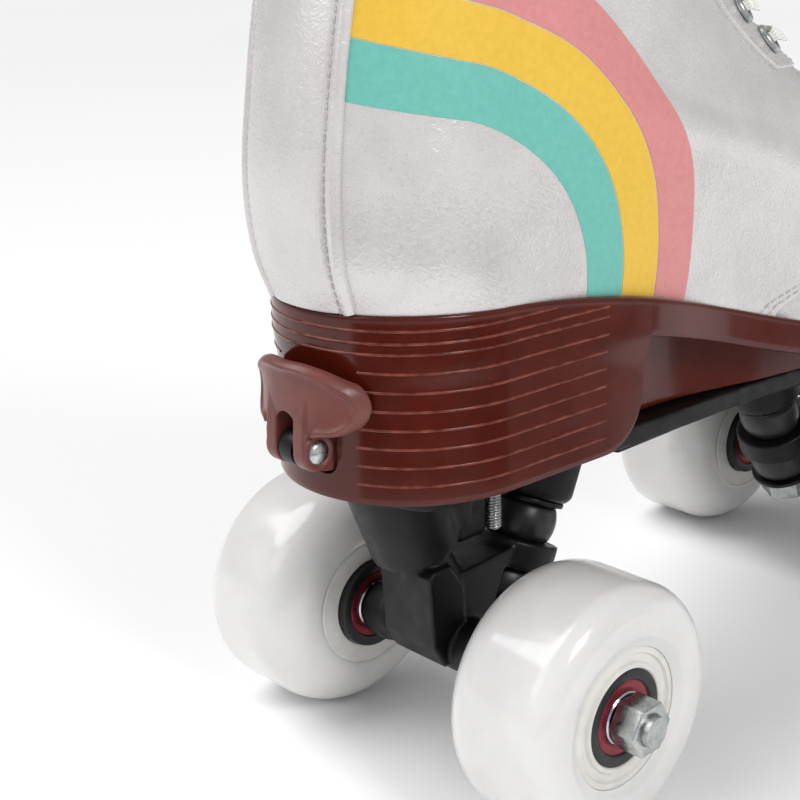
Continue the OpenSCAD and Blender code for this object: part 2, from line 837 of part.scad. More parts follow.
module draw_frame() {
  shown("#2b2b2d")
    difference() {
      union() {
        translate([pin_x, 0, pin_z])
          cross_rod(2*ear_r - 0.4, lug_t);
        translate([pin_x, -lug_half, bar_low])
          cube([thrust_x + guide_t - 0.5 - pin_x, lug_t, bar_high - bar_low]);
        translate([thrust_x + guide_t - 0.7, 0, pin_z])
          rotate([0, 90, 0])
            cylinder(d = lug_t, h = spring_l + 2);
        translate([frame_back, -frame_half, bar_low])
          cube([window_back - frame_back, 2*frame_half, 4]);
        translate([frame_back, -4, bar_low])
          cube([window_back - frame_back, 8, bar_high - bar_low]);
        translate([window_front, -frame_half, bar_low])
          cube([frame_front - window_front, 2*frame_half, 4]);
        for (s = [-1, 1])
          translate([frame_back, s*(frame_half - 2) - 2, bar_low])
            cube([frame_front - frame_back, 4, 4]);
        through(9)
          polygon([
            [nose_tip, bar_low],
            [frame_front, bar_low],
            [frame_front, bar_low + 6],
            [window_front, bar_low + 6]
          ]);
      }
      translate([pin_x, 0, pin_z])
        cross_rod(pin_d + 2*run_gap, lug_t + 2);
    }
}

spring_turns = 5;
spring_wire = 1.1;
echo("least gap between turns of the release spring", (spring_l - spring_wire - 0.2)/spring_turns - spring_wire);

module release_spring() {
  n = 70;
  m = 6;
  r = 4;
  x0 = thrust_x + guide_t + spring_wire/2 + 0.1;
  pitch = (spring_l - spring_wire - 0.2)/spring_turns;
  pts = [
    for (i = [0:n])
      let(
        a = 360*spring_turns*i/n,
        c = [x0 + pitch*spring_turns*i/n, r*cos(a), pin_z + r*sin(a)],
        d = unit([pitch/(2*PI*r), -sin(a), cos(a)]),
        o = [0, cos(a), sin(a)],
        b = cross(d, o)
      )
        [for (j = [0:m - 1]) c + spring_wire/2*(cos(360*j/m)*o + sin(360*j/m)*b)]
  ];
  wall = [
    for (i = [0:n - 1])
      for (j = [0:m - 1])
        let(a = i*m + j, b = i*m + (j + 1)%m)
          each [[a, a + m, b + m], [a, b + m, b]]
  ];
  shown("#b9bcc0")
    polyhedron(
      points = [for (p = pts) each p],
      faces = concat(wall, [[for (j = [0:m - 1]) j]], [[for (j = [m - 1:-1:0]) n*m + j]])
    );
}

// outline of the butterfly pad in y and z
pad_top = pin_z + 19.2;
pad_low = pin_z + 4.3;
slot_rise = 5.7;

module pad_outline() {
  lobe_r = 6.1;
  c = pad_r - lobe_r;
  polygon(concat(
    [for (a = [-90:12:54]) [c + lobe_r*cos(a), pad_low + lobe_r + lobe_r*sin(a)]],
    [[9.5, pad_top - 1.4], [5, pad_top - 0.1], [0, pad_top], [-5, pad_top - 0.1], [-9.5, pad_top - 1.4]],
    [for (a = [126:12:270]) [-c + lobe_r*cos(a), pad_low + lobe_r + lobe_r*sin(a)]]
  ));
}

// side of an ear: a cam whose forward reach falls evenly with the swing
function cam_pt(a) =
  let(h = cam_r + stroke*(1 + a/lever_swing), g = stroke/lever_swing*180/PI)
    [h*cos(a) - g*sin(a), h*sin(a) + g*cos(a)];

module ear_side() {
  polygon(concat(
    [[cam_r + stroke, 5.5]],
    [for (i = [0:10]) cam_pt(-lever_swing*i/10)],
    [for (a = [-105:-15:-180]) ear_r*[cos(a), sin(a)]],
    [[-ear_r + 0.1, 3], [-ear_r + 0.5, 7], [-ear_r + 1.4, 12], [2, 12]]
  ));
}

module clip_lever() {
  c = heel_back_at(pin_z) + heel_r_at(pin_z);
  bend_x = pin_x - ear_r + 0.2 + pad_bend;
  shown("#7d504b")
    difference() {
      union() {
        intersection() {
          difference() {
            translate([bend_x, 0, pin_z])
              cylinder(r = pad_bend, h = 22, $fn = 90);
            translate([bend_x, 0, pin_z - 1])
              cylinder(r = pad_bend - pad_t, h = 24, $fn = 90);
            translate([c, 0, pin_z - 1])
              cylinder(r = heel_r_at(pin_z) + 0.8, h = 24, $fn = 90);
          }
          translate([-60, 0, 0])
            rotate([90, 0, 90])
              linear_extrude(height = 40)
                pad_outline();
        }
        for (s = [-1, 1])
          translate([pin_x, s*(ear_in + ear_out)/2, pin_z])
            through(ear_t)
              ear_side();
      }
      translate([pin_x, 0, pin_z])
        cross_rod(pin_d + 0.02, 30);
      translate([pin_x - 20, -ear_in, pin_z - 10])
        cube([40, 2*ear_in, 10 + slot_rise]);
      translate([pin_x - 20, 0, pin_z + slot_rise])
        rotate([0, 90, 0])
          cylinder(r = ear_in, h = 40);
    }
}

module lever_pin() {
  shown("#b9bcc0")
    translate([pin_x, 0, pin_z]) {
      cross_rod(pin_d, 2*ear_out + 1);
      for (s = [-1, 1])
        translate([0, s*(ear_out + 0.05), 0])
          rotate([-90*s, 0, 0])
            cylinder(r1 = 2.4, r2 = 1.6, h = 1.1);
    }
}

// CHASSIS

module front_truck_place() {
  translate([wheelbase, 0, 0])
    rotate([0, 0, 180])
      children();
}

module both_trucks() {
  children();
  front_truck_place()
    children();
}

module on_pivot() {
  translate(pivot_at)
    rotate([0, -pivot_lean, 0])
      children();
}

module on_kingpin() {
  translate(ring_at)
    rotate([0, kingpin_lean, 0])
      children();
}

module on_stop() {
  translate([stop_x, 0, under])
    rotate([0, -stop_lean, 0])
      children();
}

plate_back = -24;
plate_front = stop_x + 12;
function plate_half(x) = curve([
  [plate_back + 6, 18],
  [0, 21.5],
  [30, 22.5],
  [44, 23.5],
  [85, 25],
  [ball_x, 29],
  [165, 28],
  [plate_front - 12, 19]
], x);

module plate_outline() {
  xs = [for (i = [0:24]) mix(plate_back + 6, plate_front - 12, i/24)];
  b = plate_half(xs[0]);
  f = plate_half(xs[24]);
  polygon(concat(
    [for (x = xs) [x, -plate_half(x)]],
    [for (a = [-75:15:75]) [plate_front - 12 + 12*cos(a), f*sin(a)]],
    [for (i = [24:-1:0]) [xs[i], plate_half(xs[i])]],
    [for (a = [105:15:255]) [plate_back + 6 + 6*cos(a), b*sin(a)]]
  ));
}

module chassis_plate() {
  shown("#2b2b2d")
    difference() {
      union() {
        difference() {
          union() {
            translate([0, 0, under])
              linear_extrude(height = plate_t)
                plate_outline();
            for (s = [-1, 1])
              translate([48, s*11 - 1.75, under - rib_h])
                cube([wheelbase - 96, 3.5, rib_h + 1]);
            both_trucks() {
              on_pivot()
                translate([0, 0, -pedestal_end])
                  cylinder(r1 = cup_r + 5, r2 = cup_r + 5.6, h = 22 + pedestal_end);
              through(18)
                polygon([
                  [-6, under + 1],
                  [-4, pivot_at[2] + 1.5],
                  [1.2, pivot_at[2] + 2],
                  [2, under - 7],
                  [3.2, under - 3.5],
                  [4.9, under - 0.6],
                  [5.1, under + 1]
                ]);
              through(4)
                polygon([
                  [0, under + 1],
                  [0, under - 13.5],
                  [4, under - 19.5],
                  [12.5, under - 19.5],
                  [15, under - 15.5],
                  [19, under - 8.5],
                  [22, under - 8],
                  [22, under + 1]
                ]);
              on_kingpin() {
                translate([0, 0, 15.6])
                  cylinder(d = cushion_d + 4, h = 26);
                translate([0, 0, 14])
                  cylinder(d1 = cushion_d + 1.4, d2 = cushion_d + 4, h = 1.7);
              }
            }
            on_stop()
              translate([0, 0, -7])
                cylinder(d = stem_d + 8, h = 16);
          }
          translate([-80, -80, deck])
            cube([400, 160, 60]);
        }
        for (s = [-1, 1])
          translate([hook_x, s*12, 0]) {
            translate([0, 0, hook_z])
              cross_rod(hook_bar_d + 4.4, 6);
            translate([-4.2, -3, deck - 1])
              cube([6.2, 6, hook_z - deck - 1]);
          }
      }
      both_trucks() {
        on_pivot()
          translate([0, 0, -20])
            cylinder(r = cup_r + 0.03, h = 27);
        on_kingpin() {
          cylinder(d = kingpin_d + 0.1, h = 40);
          translate([0, 0, 24])
            cylinder(d = 15, h = 30);
        }
      }
      on_stop()
        translate([0, 0, -30])
          cylinder(d = stem_d + 0.1, h = 38);
      on_stop()
        translate([0, 0, -16])
          cylinder(d = stem_d*1.6 + 0.8, h = 8.9);
      translate([hook_x, 0, hook_z])
        cross_rod(hook_bar_d + 2*run_gap, 60);
      translate([hook_x, -20, hook_z - hook_bar_d/2 - run_gap])
        cube([10, 40, hook_bar_d + 2*run_gap]);
      for (s = [-1, 1])
        translate([catch_x, s*catch_y, under - 5])
          cylinder(d = catch_bolt_d + 0.1, h = plate_t + 10);
    }
}

module catch_post() {
  foot = deck + 0.05;
  shown("#a9adb2")
    difference() {
      union() {
        translate([post_x - 4, -11, foot])
          cube([19, 22, 2.5]);
        through(8.4)
          polygon([
            [post_x, foot],
            [post_x + 4, foot],
            [post_x + 4, bar_low + post_x + 4 - nose_tip + 0.8],
            [window_front - 2.2, bar_low + window_front - 2.2 - nose_tip + 0.8],
            [window_front - 2.2, roof_z - 2],
            [post_x, roof_z - 2]
          ]);
      }
      for (s = [-1, 1])
        translate([catch_x, s*catch_y, foot - 1])
          cylinder(d = catch_bolt_d + 0.1, h = 5);
    }
}

module catch_bolts() {
  shown("#b9bcc0")
    for (s = [-1, 1])
      translate([catch_x, s*catch_y, 0]) {
        translate([0, 0, under - 15.5])
          cylinder(d = catch_bolt_d, h = plate_t + 15.5 + 3);
        translate([0, 0, deck + 2.6])
          cylinder(d = 6.6, h = 2.4);
      }
}

module catch_nuts() {
  shown("#b9bcc0")
    for (s = [-1, 1])
      translate([catch_x, s*catch_y, under - 4.6])
        difference() {
          cylinder(d = catch_bolt_d*2.1, h = 4.5, $fn = 6);
          translate([0, 0, -1])
            cylinder(d = catch_bolt_d + 0.06, h = 7);
        }
}

cushion_in = ring_t/2 + 0.1;

module kingpins() {
  shown("#b9bcc0")
    both_trucks()
      on_kingpin() {
        translate([0, 0, -21.5])
          cylinder(d = kingpin_d, h = 45.6);
        translate([0, 0, 24.05])
          cylinder(d = 13, h = 5, $fn = 6);
      }
}

module kingpin_nuts() {
  shown("#b9bcc0")
    both_trucks()
      on_kingpin()
        translate([0, 0, -20.4])
          difference() {
            cylinder(d = 15, h = 6.4, $fn = 6);
            translate([0, 0, -1])
              cylinder(d = kingpin_d + 0.06, h = 9);
          }
}

module cushion_washers() {
  shown("#c4c6c9")
    both_trucks()
      on_kingpin()
        for (z = [-13.9, 12.7])
          translate([0, 0, z])
            difference() {
              cylinder(d = cushion_d + 1, h = 1.2);
              translate([0, 0, -1])
                cylinder(d = kingpin_d + 0.3, h = 4);
            }
}

module cushion_pair() {
  on_kingpin()
    for (z = [[-12.6, -cushion_in], [cushion_in, 12.6]])
      rotate_extrude()
        polygon([
          [kingpin_d/2 + 0.3, z[0]],
          [cushion_d/2 - 1.2, z[0]],
          [cushion_d/2, (z[0] + z[1])/2],
          [cushion_d/2 - 1.2, z[1]],
          [kingpin_d/2 + 0.3, z[1]]
        ]);
}

module rear_cushions() {
  shown("#26262a")
    cushion_pair();
}

module front_cushions() {
  shown("#26262a")
    front_truck_place()
      cushion_pair();
}

module pivot_cups() {
  shown("#26262a")
    both_trucks()
      on_pivot()
        difference() {
          translate([0, 0, 0.4 - pedestal_end])
            cylinder(r = cup_r, h = 6.4 + pedestal_end);
          translate([0, 0, -12])
            cylinder(r = cup_r - cup_wall, h = 12 + ball_d/2 + 0.3);
        }
}

module toe_stop() {
  shown("#35343a")
    on_stop()
      translate([0, 0, -stop_reach])
        difference() {
          rotate_extrude($fn = 64)
            polygon([
              [0, 0],
              [toe_stop_d/2 - 4, 0],
              [toe_stop_d/2 - 1.2, 1.2],
              [toe_stop_d/2, 4],
              [toe_stop_d/2 - 3.5, toe_stop_h - 1],
              [toe_stop_d/2 - 4.5, toe_stop_h],
              [0, toe_stop_h]
            ]);
          translate([0, 0, toe_stop_h - stop_socket])
            cylinder(d = stem_d + 0.06, h = stop_socket + 2);
        }
}

module toe_stop_stem() {
  shown("#b9bcc0")
    on_stop()
      translate([0, 0, -stop_reach + toe_stop_h - stop_socket + 0.2])
        cylinder(d = stem_d, h = stop_reach - toe_stop_h + stop_socket + 0.8);
}

module toe_stop_nut() {
  shown("#b9bcc0")
    on_stop()
      translate([0, 0, -15.2])
        difference() {
          rotate([0, 0, 30])
            cylinder(d = stem_d*1.6, h = 8, $fn = 6);
          translate([0, 0, -1])
            cylinder(d = stem_d + 0.06, h = 10);
        }
}

// TRUCKS AND WHEELS

module hanger() {
  difference() {
    union() {
      translate([0, 0, axle_z]) {
        cross_rod(tube_d, 2*hub_y - 2);
        for (s = [-1, 1]) {
          translate([0, s*(hub_y - 3), 0])
            cross_rod(tube_d + 1, 6);
          translate([0, s*(hub_y + collar_y)/2, 0])
            cross_rod(axle_d + 3.4, collar_y - hub_y + eps);
        }
      }
      through(14)
        polygon([
          [-6.8, axle_z - 2],
          [-9.5, axle_z + 10],
          [-7.5, axle_z + 15],
          [0.5, axle_z + 18],
          [web_front, axle_z + 19],
          [web_front, axle_z + 11],
          [web_front - 4, axle_z + 6],
          [6.8, axle_z - 2]
        ]);
      through(17)
        polygon([
          [-7.5, axle_z - 3],
          [-11, axle_z + 3],
          [-12, axle_z + 20.5],
          [-10.5, axle_z + 22],
          [-5, axle_z + 22],
          [-1, axle_z + 16],
          [0, axle_z]
        ]);
      on_kingpin()
        translate([0, 0, -ring_t/2])
          cylinder(d = ring_d, h = ring_t);
      on_pivot() {
        sphere(d = ball_d);
        translate([0, 0, -16])
          cylinder(d = ball_d - 2, h = 16);
        translate([0, 0, -16])
          cylinder(d1 = 15, d2 = 13, h = 16 - pedestal_end - 2);
      }
    }
    translate([0, 0, axle_z])
      cross_rod(axle_d + 0.04, 2*collar_y + 4);
    on_kingpin() {
      cylinder(d = kingpin_d + 4, h = 30, center = true);
      for (z = [ring_t/2, -ring_t/2 - 12])
        translate([0, 0, z])
          cylinder(d = ring_d + 2, h = 12);
    }
  }
}

module rear_hanger() {
  shown("#2b2b2d")
    hanger();
}

module front_hanger() {
  shown("#2b2b2d")
    front_truck_place()
      hanger();
}

module axle_rod() {
  translate([0, 0, axle_z])
    cross_rod(axle_d, 2*axle_half);
}

module rear_axle() {
  shown("#b9bcc0")
    axle_rod();
}

module front_axle() {
  shown("#b9bcc0")
    front_truck_place()
      axle_rod();
}

module axle_nut_pair() {
  for (s = [-1, 1])
    translate([0, s*(nut_y + nut_t/2), axle_z])
      rotate([90, 0, 0])
        difference() {
          cylinder(d = 12.6, h = nut_t, center = true, $fn = 6);
          cylinder(d = axle_d + 0.06, h = nut_t + 2, center = true);
        }
}

module rear_axle_nuts() {
  shown("#b9bcc0")
    axle_nut_pair();
}

module front_axle_nuts() {
  shown("#b9bcc0")
    front_truck_place()
      axle_nut_pair();
}

module wheel_place(front, s) {
  shown_x = front ? wheelbase : 0;
  translate([shown_x, s*track/2, axle_z])
    rotate([-90*s, 0, 0])
      children();
}

module tyre_form() {
  r = wheel_d/2;
  h = wheel_w/2;
  rotate_extrude($fn = 96)
    polygon(concat(
      [[core_d/2 + 0.02, -h]],
      [for (a = [-90:9:0]) [r - edge_in + edge_in*cos(a), -h + edge_in + edge_in*sin(a)]],
      [for (a = [0:15:90]) [r - edge_out + edge_out*cos(a), h - edge_out + edge_out*sin(a)]],
      [[core_d/2 + 2.2, h]],
      [[core_d/2 + 0.02, bear_out]]
    ));
}

module core_form() {
  rotate_extrude($fn = 64)
    polygon([
      [bearing_d/2 - 2.2, bear_in + bearing_w + 0.05],
      [bearing_d/2 + 0.02, bear_in + bearing_w + 0.05],
      [bearing_d/2 + 0.02, -wheel_w/2],
      [core_d/2, -wheel_w/2],
      [core_d/2, bear_out],
      [bearing_d/2 + 0.02, bear_out],
      [bearing_d/2 + 0.02, bear_out - bearing_w - 0.05],
      [bearing_d/2 - 2.2, bear_out - bearing_w - 0.05]
    ]);
}

module bearing_form() {
  for (z = [bear_in, bear_out - bearing_w])
    translate([0, 0, z])
      difference() {
        cylinder(d = bearing_d, h = bearing_w, $fn = 64);
        translate([0, 0, -1])
          cylinder(d = axle_d + 2*run_gap, h = bearing_w + 2);
      }
}

module tyre(front, s) {
  shown("#e4e4e2")
    wheel_place(front, s)
      tyre_form();
}

module core(front, s) {
  shown("#f0f0ee")
    wheel_place(front, s)
      core_form();
}

module bearings(front, s) {
  shown("#8c2837")
    wheel_place(front, s)
      bearing_form();
}

sole_band();
heel_block();
latch_guide();
guide_screws();
hook_bar();
insole_board();
footbed();
vamp();
quarter_outer();
quarter_inner();
back_strip();
stripe_teal();
stripe_yellow();
stripe_pink();
tongue();
lining();
collar_pad();
eyestays();
eyelets();
lace();
draw_frame();
release_spring();
clip_lever();
lever_pin();
chassis_plate();
catch_post();
catch_bolts();
catch_nuts();
kingpins();
kingpin_nuts();
cushion_washers();
rear_cushions();
front_cushions();
pivot_cups();
toe_stop();
toe_stop_stem();
toe_stop_nut();
rear_hanger();
rear_axle();
rear_axle_nuts();
front_hanger();
front_axle();
front_axle_nuts();
tyre(false, -1);  // tyre_ro
core(false, -1);  // core_ro
bearings(false, -1);  // bearings_ro
tyre(false, 1);  // tyre_ri
core(false, 1);  // core_ri
bearings(false, 1);  // bearings_ri
tyre(true, -1);  // tyre_fo
core(true, -1);  // core_fo
bearings(true, -1);  // bearings_fo
tyre(true, 1);  // tyre_fi
core(true, 1);  // core_fi
bearings(true, 1);  // bearings_fi
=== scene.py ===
import math

import bmesh
import bpy
import numpy as np
from mathutils import Matrix, Vector


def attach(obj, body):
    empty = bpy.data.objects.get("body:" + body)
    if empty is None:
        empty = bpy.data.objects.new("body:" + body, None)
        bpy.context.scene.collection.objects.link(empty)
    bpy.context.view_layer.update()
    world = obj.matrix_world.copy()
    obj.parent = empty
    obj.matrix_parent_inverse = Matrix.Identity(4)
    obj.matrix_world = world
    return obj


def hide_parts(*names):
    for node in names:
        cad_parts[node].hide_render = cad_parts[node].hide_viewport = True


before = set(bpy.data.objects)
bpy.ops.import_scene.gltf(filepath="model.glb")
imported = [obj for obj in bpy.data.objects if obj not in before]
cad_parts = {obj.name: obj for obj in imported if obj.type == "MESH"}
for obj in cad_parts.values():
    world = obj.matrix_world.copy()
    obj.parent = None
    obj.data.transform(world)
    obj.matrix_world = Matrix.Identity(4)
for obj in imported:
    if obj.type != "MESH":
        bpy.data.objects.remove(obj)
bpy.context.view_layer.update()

FRAME_X = 89.0  # the frame's origin lies this far ahead of the rear axle

# SIZES, as on the solids

AXLE_Z = 29.0
DECK = 76.0
UNDER = 71.0
FLOOR_Z = 76.2
HEEL_H = 40.3
FORE_H = 11.5
BAND_H = 8.6
HEEL_BACK = -37.0
TOE_X = 222.0
HEEL_R = 29.4
HEEL_SPREAD = 0.9
BALL_R = 43.0
WAIST_R = 30.4
HEEL_C = HEEL_BACK + HEEL_R
BREAST_X = 35.0
WAIST_X = 64.0
BALL_X = 128.0
CAP_X = TOE_X - 50
TOE_SPRING = 4.5
TOE_LIFT = 6.0
HEEL_SHARE = 0.25   # the heel's round back takes this share of the outline
CAP_SHARE = 0.66    # and the toe cap starts here
CAP_POWER = 0.87    # below 1 the toe cap is squarer than an ellipse
SEAT_GAP = 0.25     # the upper stands this far over the sole's top edge
TOE_BEND_X = 188.0  # ahead of this the sole lifts towards the toe
PIN_X = -40.0
PIN_Z = DECK + 11.5
COLLAR_Z = 228.0
COLLAR_L = 83.0
COLLAR_R = 35.5
UPPER_T = 1.8
LINING_T = 2.6
LAYER_GAP = 0.3
OVERLAY_T = 0.8
EYELET_ROWS = 7


# CURVES AND SURFACES

def mix(a, b, t):
    return a + (b - a) * t


def clamp01(t):
    return np.clip(t, 0.0, 1.0)


def ease(t):
    c = clamp01(t)
    return c * c * (3 - 2 * c)


def curve(pos, val, x):
    """Smooth curve through values at positions; each value may be an array as long as x."""
    x = np.asarray(x, float)
    val = [np.broadcast_to(np.asarray(v, float), x.shape) for v in val]
    n = len(pos)
    lean = []
    for i in range(n):
        a, b = max(0, i - 1), min(n - 1, i + 1)
        lean.append((val[b] - val[a]) / (pos[b] - pos[a]))
    out = np.zeros(x.shape)
    for i in range(n - 1):
        here = np.ones(x.shape, bool)
        if i:
            here &= x >= pos[i]
        if i < n - 2:
            here &= x < pos[i + 1]
        h = pos[i + 1] - pos[i]
        t = (x - pos[i]) / h
        c = clamp01(t)
        m0, m1 = lean[i] * h, lean[i + 1] * h
        y = (val[i] * (2 * c**3 - 3 * c**2 + 1) + m0 * (c**3 - 2 * c**2 + c)
             + val[i + 1] * (3 * c**2 - 2 * c**3) + m1 * (c**3 - c**2))
        out = np.where(here, y + (t - c) * np.where(t > 1, m1, m0), out)
    return out


def half_w(x):
    return curve([HEEL_C, BREAST_X, WAIST_X, BALL_X, CAP_X],
                 [HEEL_R, HEEL_R + 1.6, WAIST_R, BALL_R, BALL_R - 2], x)


def mid_y(x):
    return curve([HEEL_C, WAIST_X, BALL_X, CAP_X, TOE_X], [0, -2.5, 0.5, 4.5, 7], x)


def feather(x):
    """Height of the line where the upper meets the sole."""
    drop = (1 + np.cos(np.pi * clamp01((x - HEEL_BACK) / (BALL_X - HEEL_BACK)) ** 1.35)) / 2
    return DECK + FORE_H + (HEEL_H - FORE_H) * drop + TOE_SPRING * clamp01((x - CAP_X) / 50) ** 2


def sole_low(x):
    return (mix(feather(x) - BAND_H, FLOOR_Z, ease((x - 92) / 33))
            + TOE_LIFT * clamp01((x - TOE_BEND_X) / (TOE_X - TOE_BEND_X)) ** 1.5)


def sole_xy(share, inset=0.0):
    """Outline of the sole: share is 0 at the heel's back and 1 at the toe, below zero on the outer side."""
    share = np.asarray(share, float)
    u, sg = np.abs(share), np.where(share < 0, -1.0, 1.0)
    ah = np.pi / 2 * clamp01(u / HEEL_SHARE)
    ac = np.pi / 2 * clamp01((u - CAP_SHARE) / (1 - CAP_SHARE))
    xm = mix(HEEL_C, CAP_X, clamp01((u - HEEL_SHARE) / (CAP_SHARE - HEEL_SHARE)))
    x = np.where(u < HEEL_SHARE, HEEL_BACK + inset + (HEEL_R - inset) * (1 - np.cos(ah)),
                 np.where(u < CAP_SHARE, xm, CAP_X + (TOE_X - inset - CAP_X) * np.sin(ac) ** CAP_POWER))
    h = np.where(u < HEEL_SHARE, (HEEL_R - inset) * np.sin(ah),
                 np.where(u < CAP_SHARE, half_w(xm) - inset,
                          (half_w(np.full_like(u, CAP_X)) - inset) * np.maximum(0, np.cos(ac)) ** CAP_POWER))
    return x, mid_y(x) + sg * h


BACK_X = [HEEL_BACK + 0.5, -40.2, -41.4, -39, -34, -33]
BACK_Z = [0, 0.1, 0.235, 0.42, 0.69, 1]
FRONT_X = [TOE_X - 1.2, TOE_X - 4, 188, 122, 70, COLLAR_L - 33]
FRONT_Z = [0, 0.155, 0.31, 0.425, 0.69, 0.985]
HEEL_HALF = [HEEL_R - 0.6, 30.4, 31, 30, 30, COLLAR_R - 0.6]
WAIST_HALF = [WAIST_R - 0.6, 32.4, 34.5, 34, 32, COLLAR_R]
BALL_HALF = [BALL_R - 0.6, BALL_R - 1.8, 37.5, 34, 32.3, COLLAR_R]
CAP_HALF = [BALL_R - 2.6, BALL_R - 4.8, 36.5, 33.2, 32, COLLAR_R]
HEEL_CAP = [29, 31, 33, 33, 34, 40]
FRONT_CAP = [49, 60, 95, 90, 56, 41]
HEEL_Z = DECK + HEEL_H + SEAT_GAP
TOE_Z = DECK + FORE_H + TOE_SPRING + SEAT_GAP
COLLAR_DIP = 8
FACE_STEP = 0.004  # half step, in share and level, that the face's slope is taken over


def prof(table, v):
    n = len(table) - 1
    return curve([i / n for i in range(n + 1)], table, v)


def face_at(share, v):
    """Outer face of the upper: share as on the sole, v from 0 at the sole to 1 at the collar."""
    share, v = np.broadcast_arrays(np.asarray(share, float), np.asarray(v, float))
    w = np.where(share > 1, share - 2, np.where(share < -1, share + 2, share))
    u, sg = np.abs(w), np.where(w < 0, -1.0, 1.0)
    xb, xf = prof(BACK_X, v), prof(FRONT_X, v)
    hl, cl = prof(HEEL_CAP, v), prof(FRONT_CAP, v)
    wh, wf = prof(HEEL_HALF, v), prof(CAP_HALF, v)
    e = mix(CAP_POWER, 1, clamp01(v / 0.5))
    ah = np.pi / 2 * clamp01(u / HEEL_SHARE)
    ac = np.pi / 2 * clamp01((u - CAP_SHARE) / (1 - CAP_SHARE))
    t = clamp01((u - HEEL_SHARE) / (CAP_SHARE - HEEL_SHARE))
    flank = curve([0, 0.4, 0.75, 1], [wh, prof(WAIST_HALF, v), prof(BALL_HALF, v), wf], t)
    x = np.where(u < HEEL_SHARE, xb + hl * (1 - np.cos(ah)),
                 np.where(u < CAP_SHARE, mix(xb + hl, xf - cl, t), xf - cl + cl * np.sin(ac) ** e))
    h = np.where(u < HEEL_SHARE, wh * np.sin(ah),
                 np.where(u < CAP_SHARE, flank, wf * np.maximum(0, np.cos(ac)) ** e))
    s = (x - xb) / (xf - xb)
    s0 = clamp01((x - BACK_X[0]) / (FRONT_X[0] - BACK_X[0]))
    fade = np.maximum(0, 1 - v / 0.5) ** 1.6
    sag = feather(x) + SEAT_GAP - mix(HEEL_Z, TOE_Z, s0)
    dip = COLLAR_DIP * ease((v - 0.6) / 0.4) * np.sin(np.pi * clamp01(s)) ** 2
    rise = mix(mix(HEEL_Z, COLLAR_Z, prof(BACK_Z, v)), mix(TOE_Z, COLLAR_Z, prof(FRONT_Z, v)), s)
    return np.stack([x, mid_y(x) * mix(1, 0.15, clamp01(v)) + sg * h, rise + fade * sag - dip], -1)


def unit(p):
    return p / np.maximum(np.linalg.norm(p, axis=-1, keepdims=True), 1e-9)


def walked(path):
    """Distance gone at each point of a path."""
    return np.concatenate([[0], np.cumsum(np.linalg.norm(np.diff(path, axis=0), axis=1))])


def out_of(share, v):
    """Unit vector out of the upper's face."""
    share, v = np.asarray(share, float), np.asarray(v, float)
    up = face_at(share, v + FACE_STEP) - face_at(share, v - FACE_STEP)
    along = face_at(share + FACE_STEP, v) - face_at(share - FACE_STEP, v)
    return unit(np.cross(up, along))


def lift(share, v, depth):
    """Point over the upper's face by depth in mm."""
    return face_at(share, v) + np.asarray(depth, float)[..., None] * out_of(share, v)


THROAT_V = 0.62    # level where the lacing starts
EYE_SHARE = 0.885  # front edge of the quarters beside the lacing
TOP_V = 0.965
COLLAR_EDGE = 5.4  # the panels end this far below the collar's line, mm


def front_seam(v):
    v = np.asarray(v, float)
    return np.where(v < THROAT_V, mix(0.45, EYE_SHARE, clamp01(v / THROAT_V) ** 1.3), EYE_SHARE)


def strip_half(v):
    return mix(0.074, 0.082, v)


def top_at(share):
    """Level of the panels' top edge."""
    one = np.ones_like(np.asarray(share, float))
    back = 0.04
    run = np.linalg.norm(face_at(share, one) - face_at(share, (1 - back) * one), axis=-1)
    return 1 - COLLAR_EDGE * back / run


def level_at(share, f):
    return f * top_at(share)


EDGE_V = float(top_at(np.array(EYE_SHARE)))


def place_at(x, z, side):
    """(share, level) of the point of one side of the upper at a given x and z."""
    u, v = np.full_like(x, 0.4), np.full_like(x, 0.3)
    step, reach = 0.003, 0.12
    for _ in range(10):
        p = face_at(side * u, v)
        pu = (face_at(side * (u + step), v) - p) / step
        pv = (face_at(side * u, v + step) - p) / step
        d = pu[..., 0] * pv[..., 2] - pv[..., 0] * pu[..., 2]
        gx, gz = x - p[..., 0], z - p[..., 2]
        du = np.clip((gx * pv[..., 2] - gz * pv[..., 0]) / d, -reach, reach)
        dv = np.clip((pu[..., 0] * gz - pu[..., 2] * gx) / d, -reach, reach)
        u, v = np.clip(u + du, 0.1, 0.95), np.clip(v + dv, 0, 0.9)
    return side * u, v


# NODES AND MATERIALS

def add(tree, kind, inputs=(), **settings):
    """Adds a node with its settings; an input is a value or the socket that feeds it."""
    node = tree.nodes.new(kind)
    for key, value in settings.items():
        setattr(node, key, value)
    for key, value in dict(inputs).items():
        if isinstance(value, bpy.types.NodeSocket):
            tree.links.new(value, node.inputs[key])
        else:
            node.inputs[key].default_value = value
    return node


def srgb(text):
    """Linear colour of an sRGB hex value."""
    rgb = [int(text[i:i + 2], 16) / 255 for i in (1, 3, 5)]
    return [c / 12.92 if c <= 0.04045 else ((c + 0.055) / 1.055) ** 2.4 for c in rgb] + [1.0]


def per_mm(size):
    """Texture scale that gives a pattern of this size, in mm."""
    return 1000.0 / size


def new_material(name, colour, roughness, **sockets):
    mat = bpy.data.materials.new(name)
    mat.use_nodes = True
    tree = mat.node_tree
    tree.nodes.clear()
    shader = add(tree, "ShaderNodeBsdfPrincipled", {"Base Color": srgb(colour), "Roughness": roughness})
    for key, value in sockets.items():
        shader.inputs[key.replace("_", " ")].default_value = value
    out = add(tree, "ShaderNodeOutputMaterial", {"Surface": shader.outputs["BSDF"]})
    out.is_active_output = True
    return mat, tree, shader


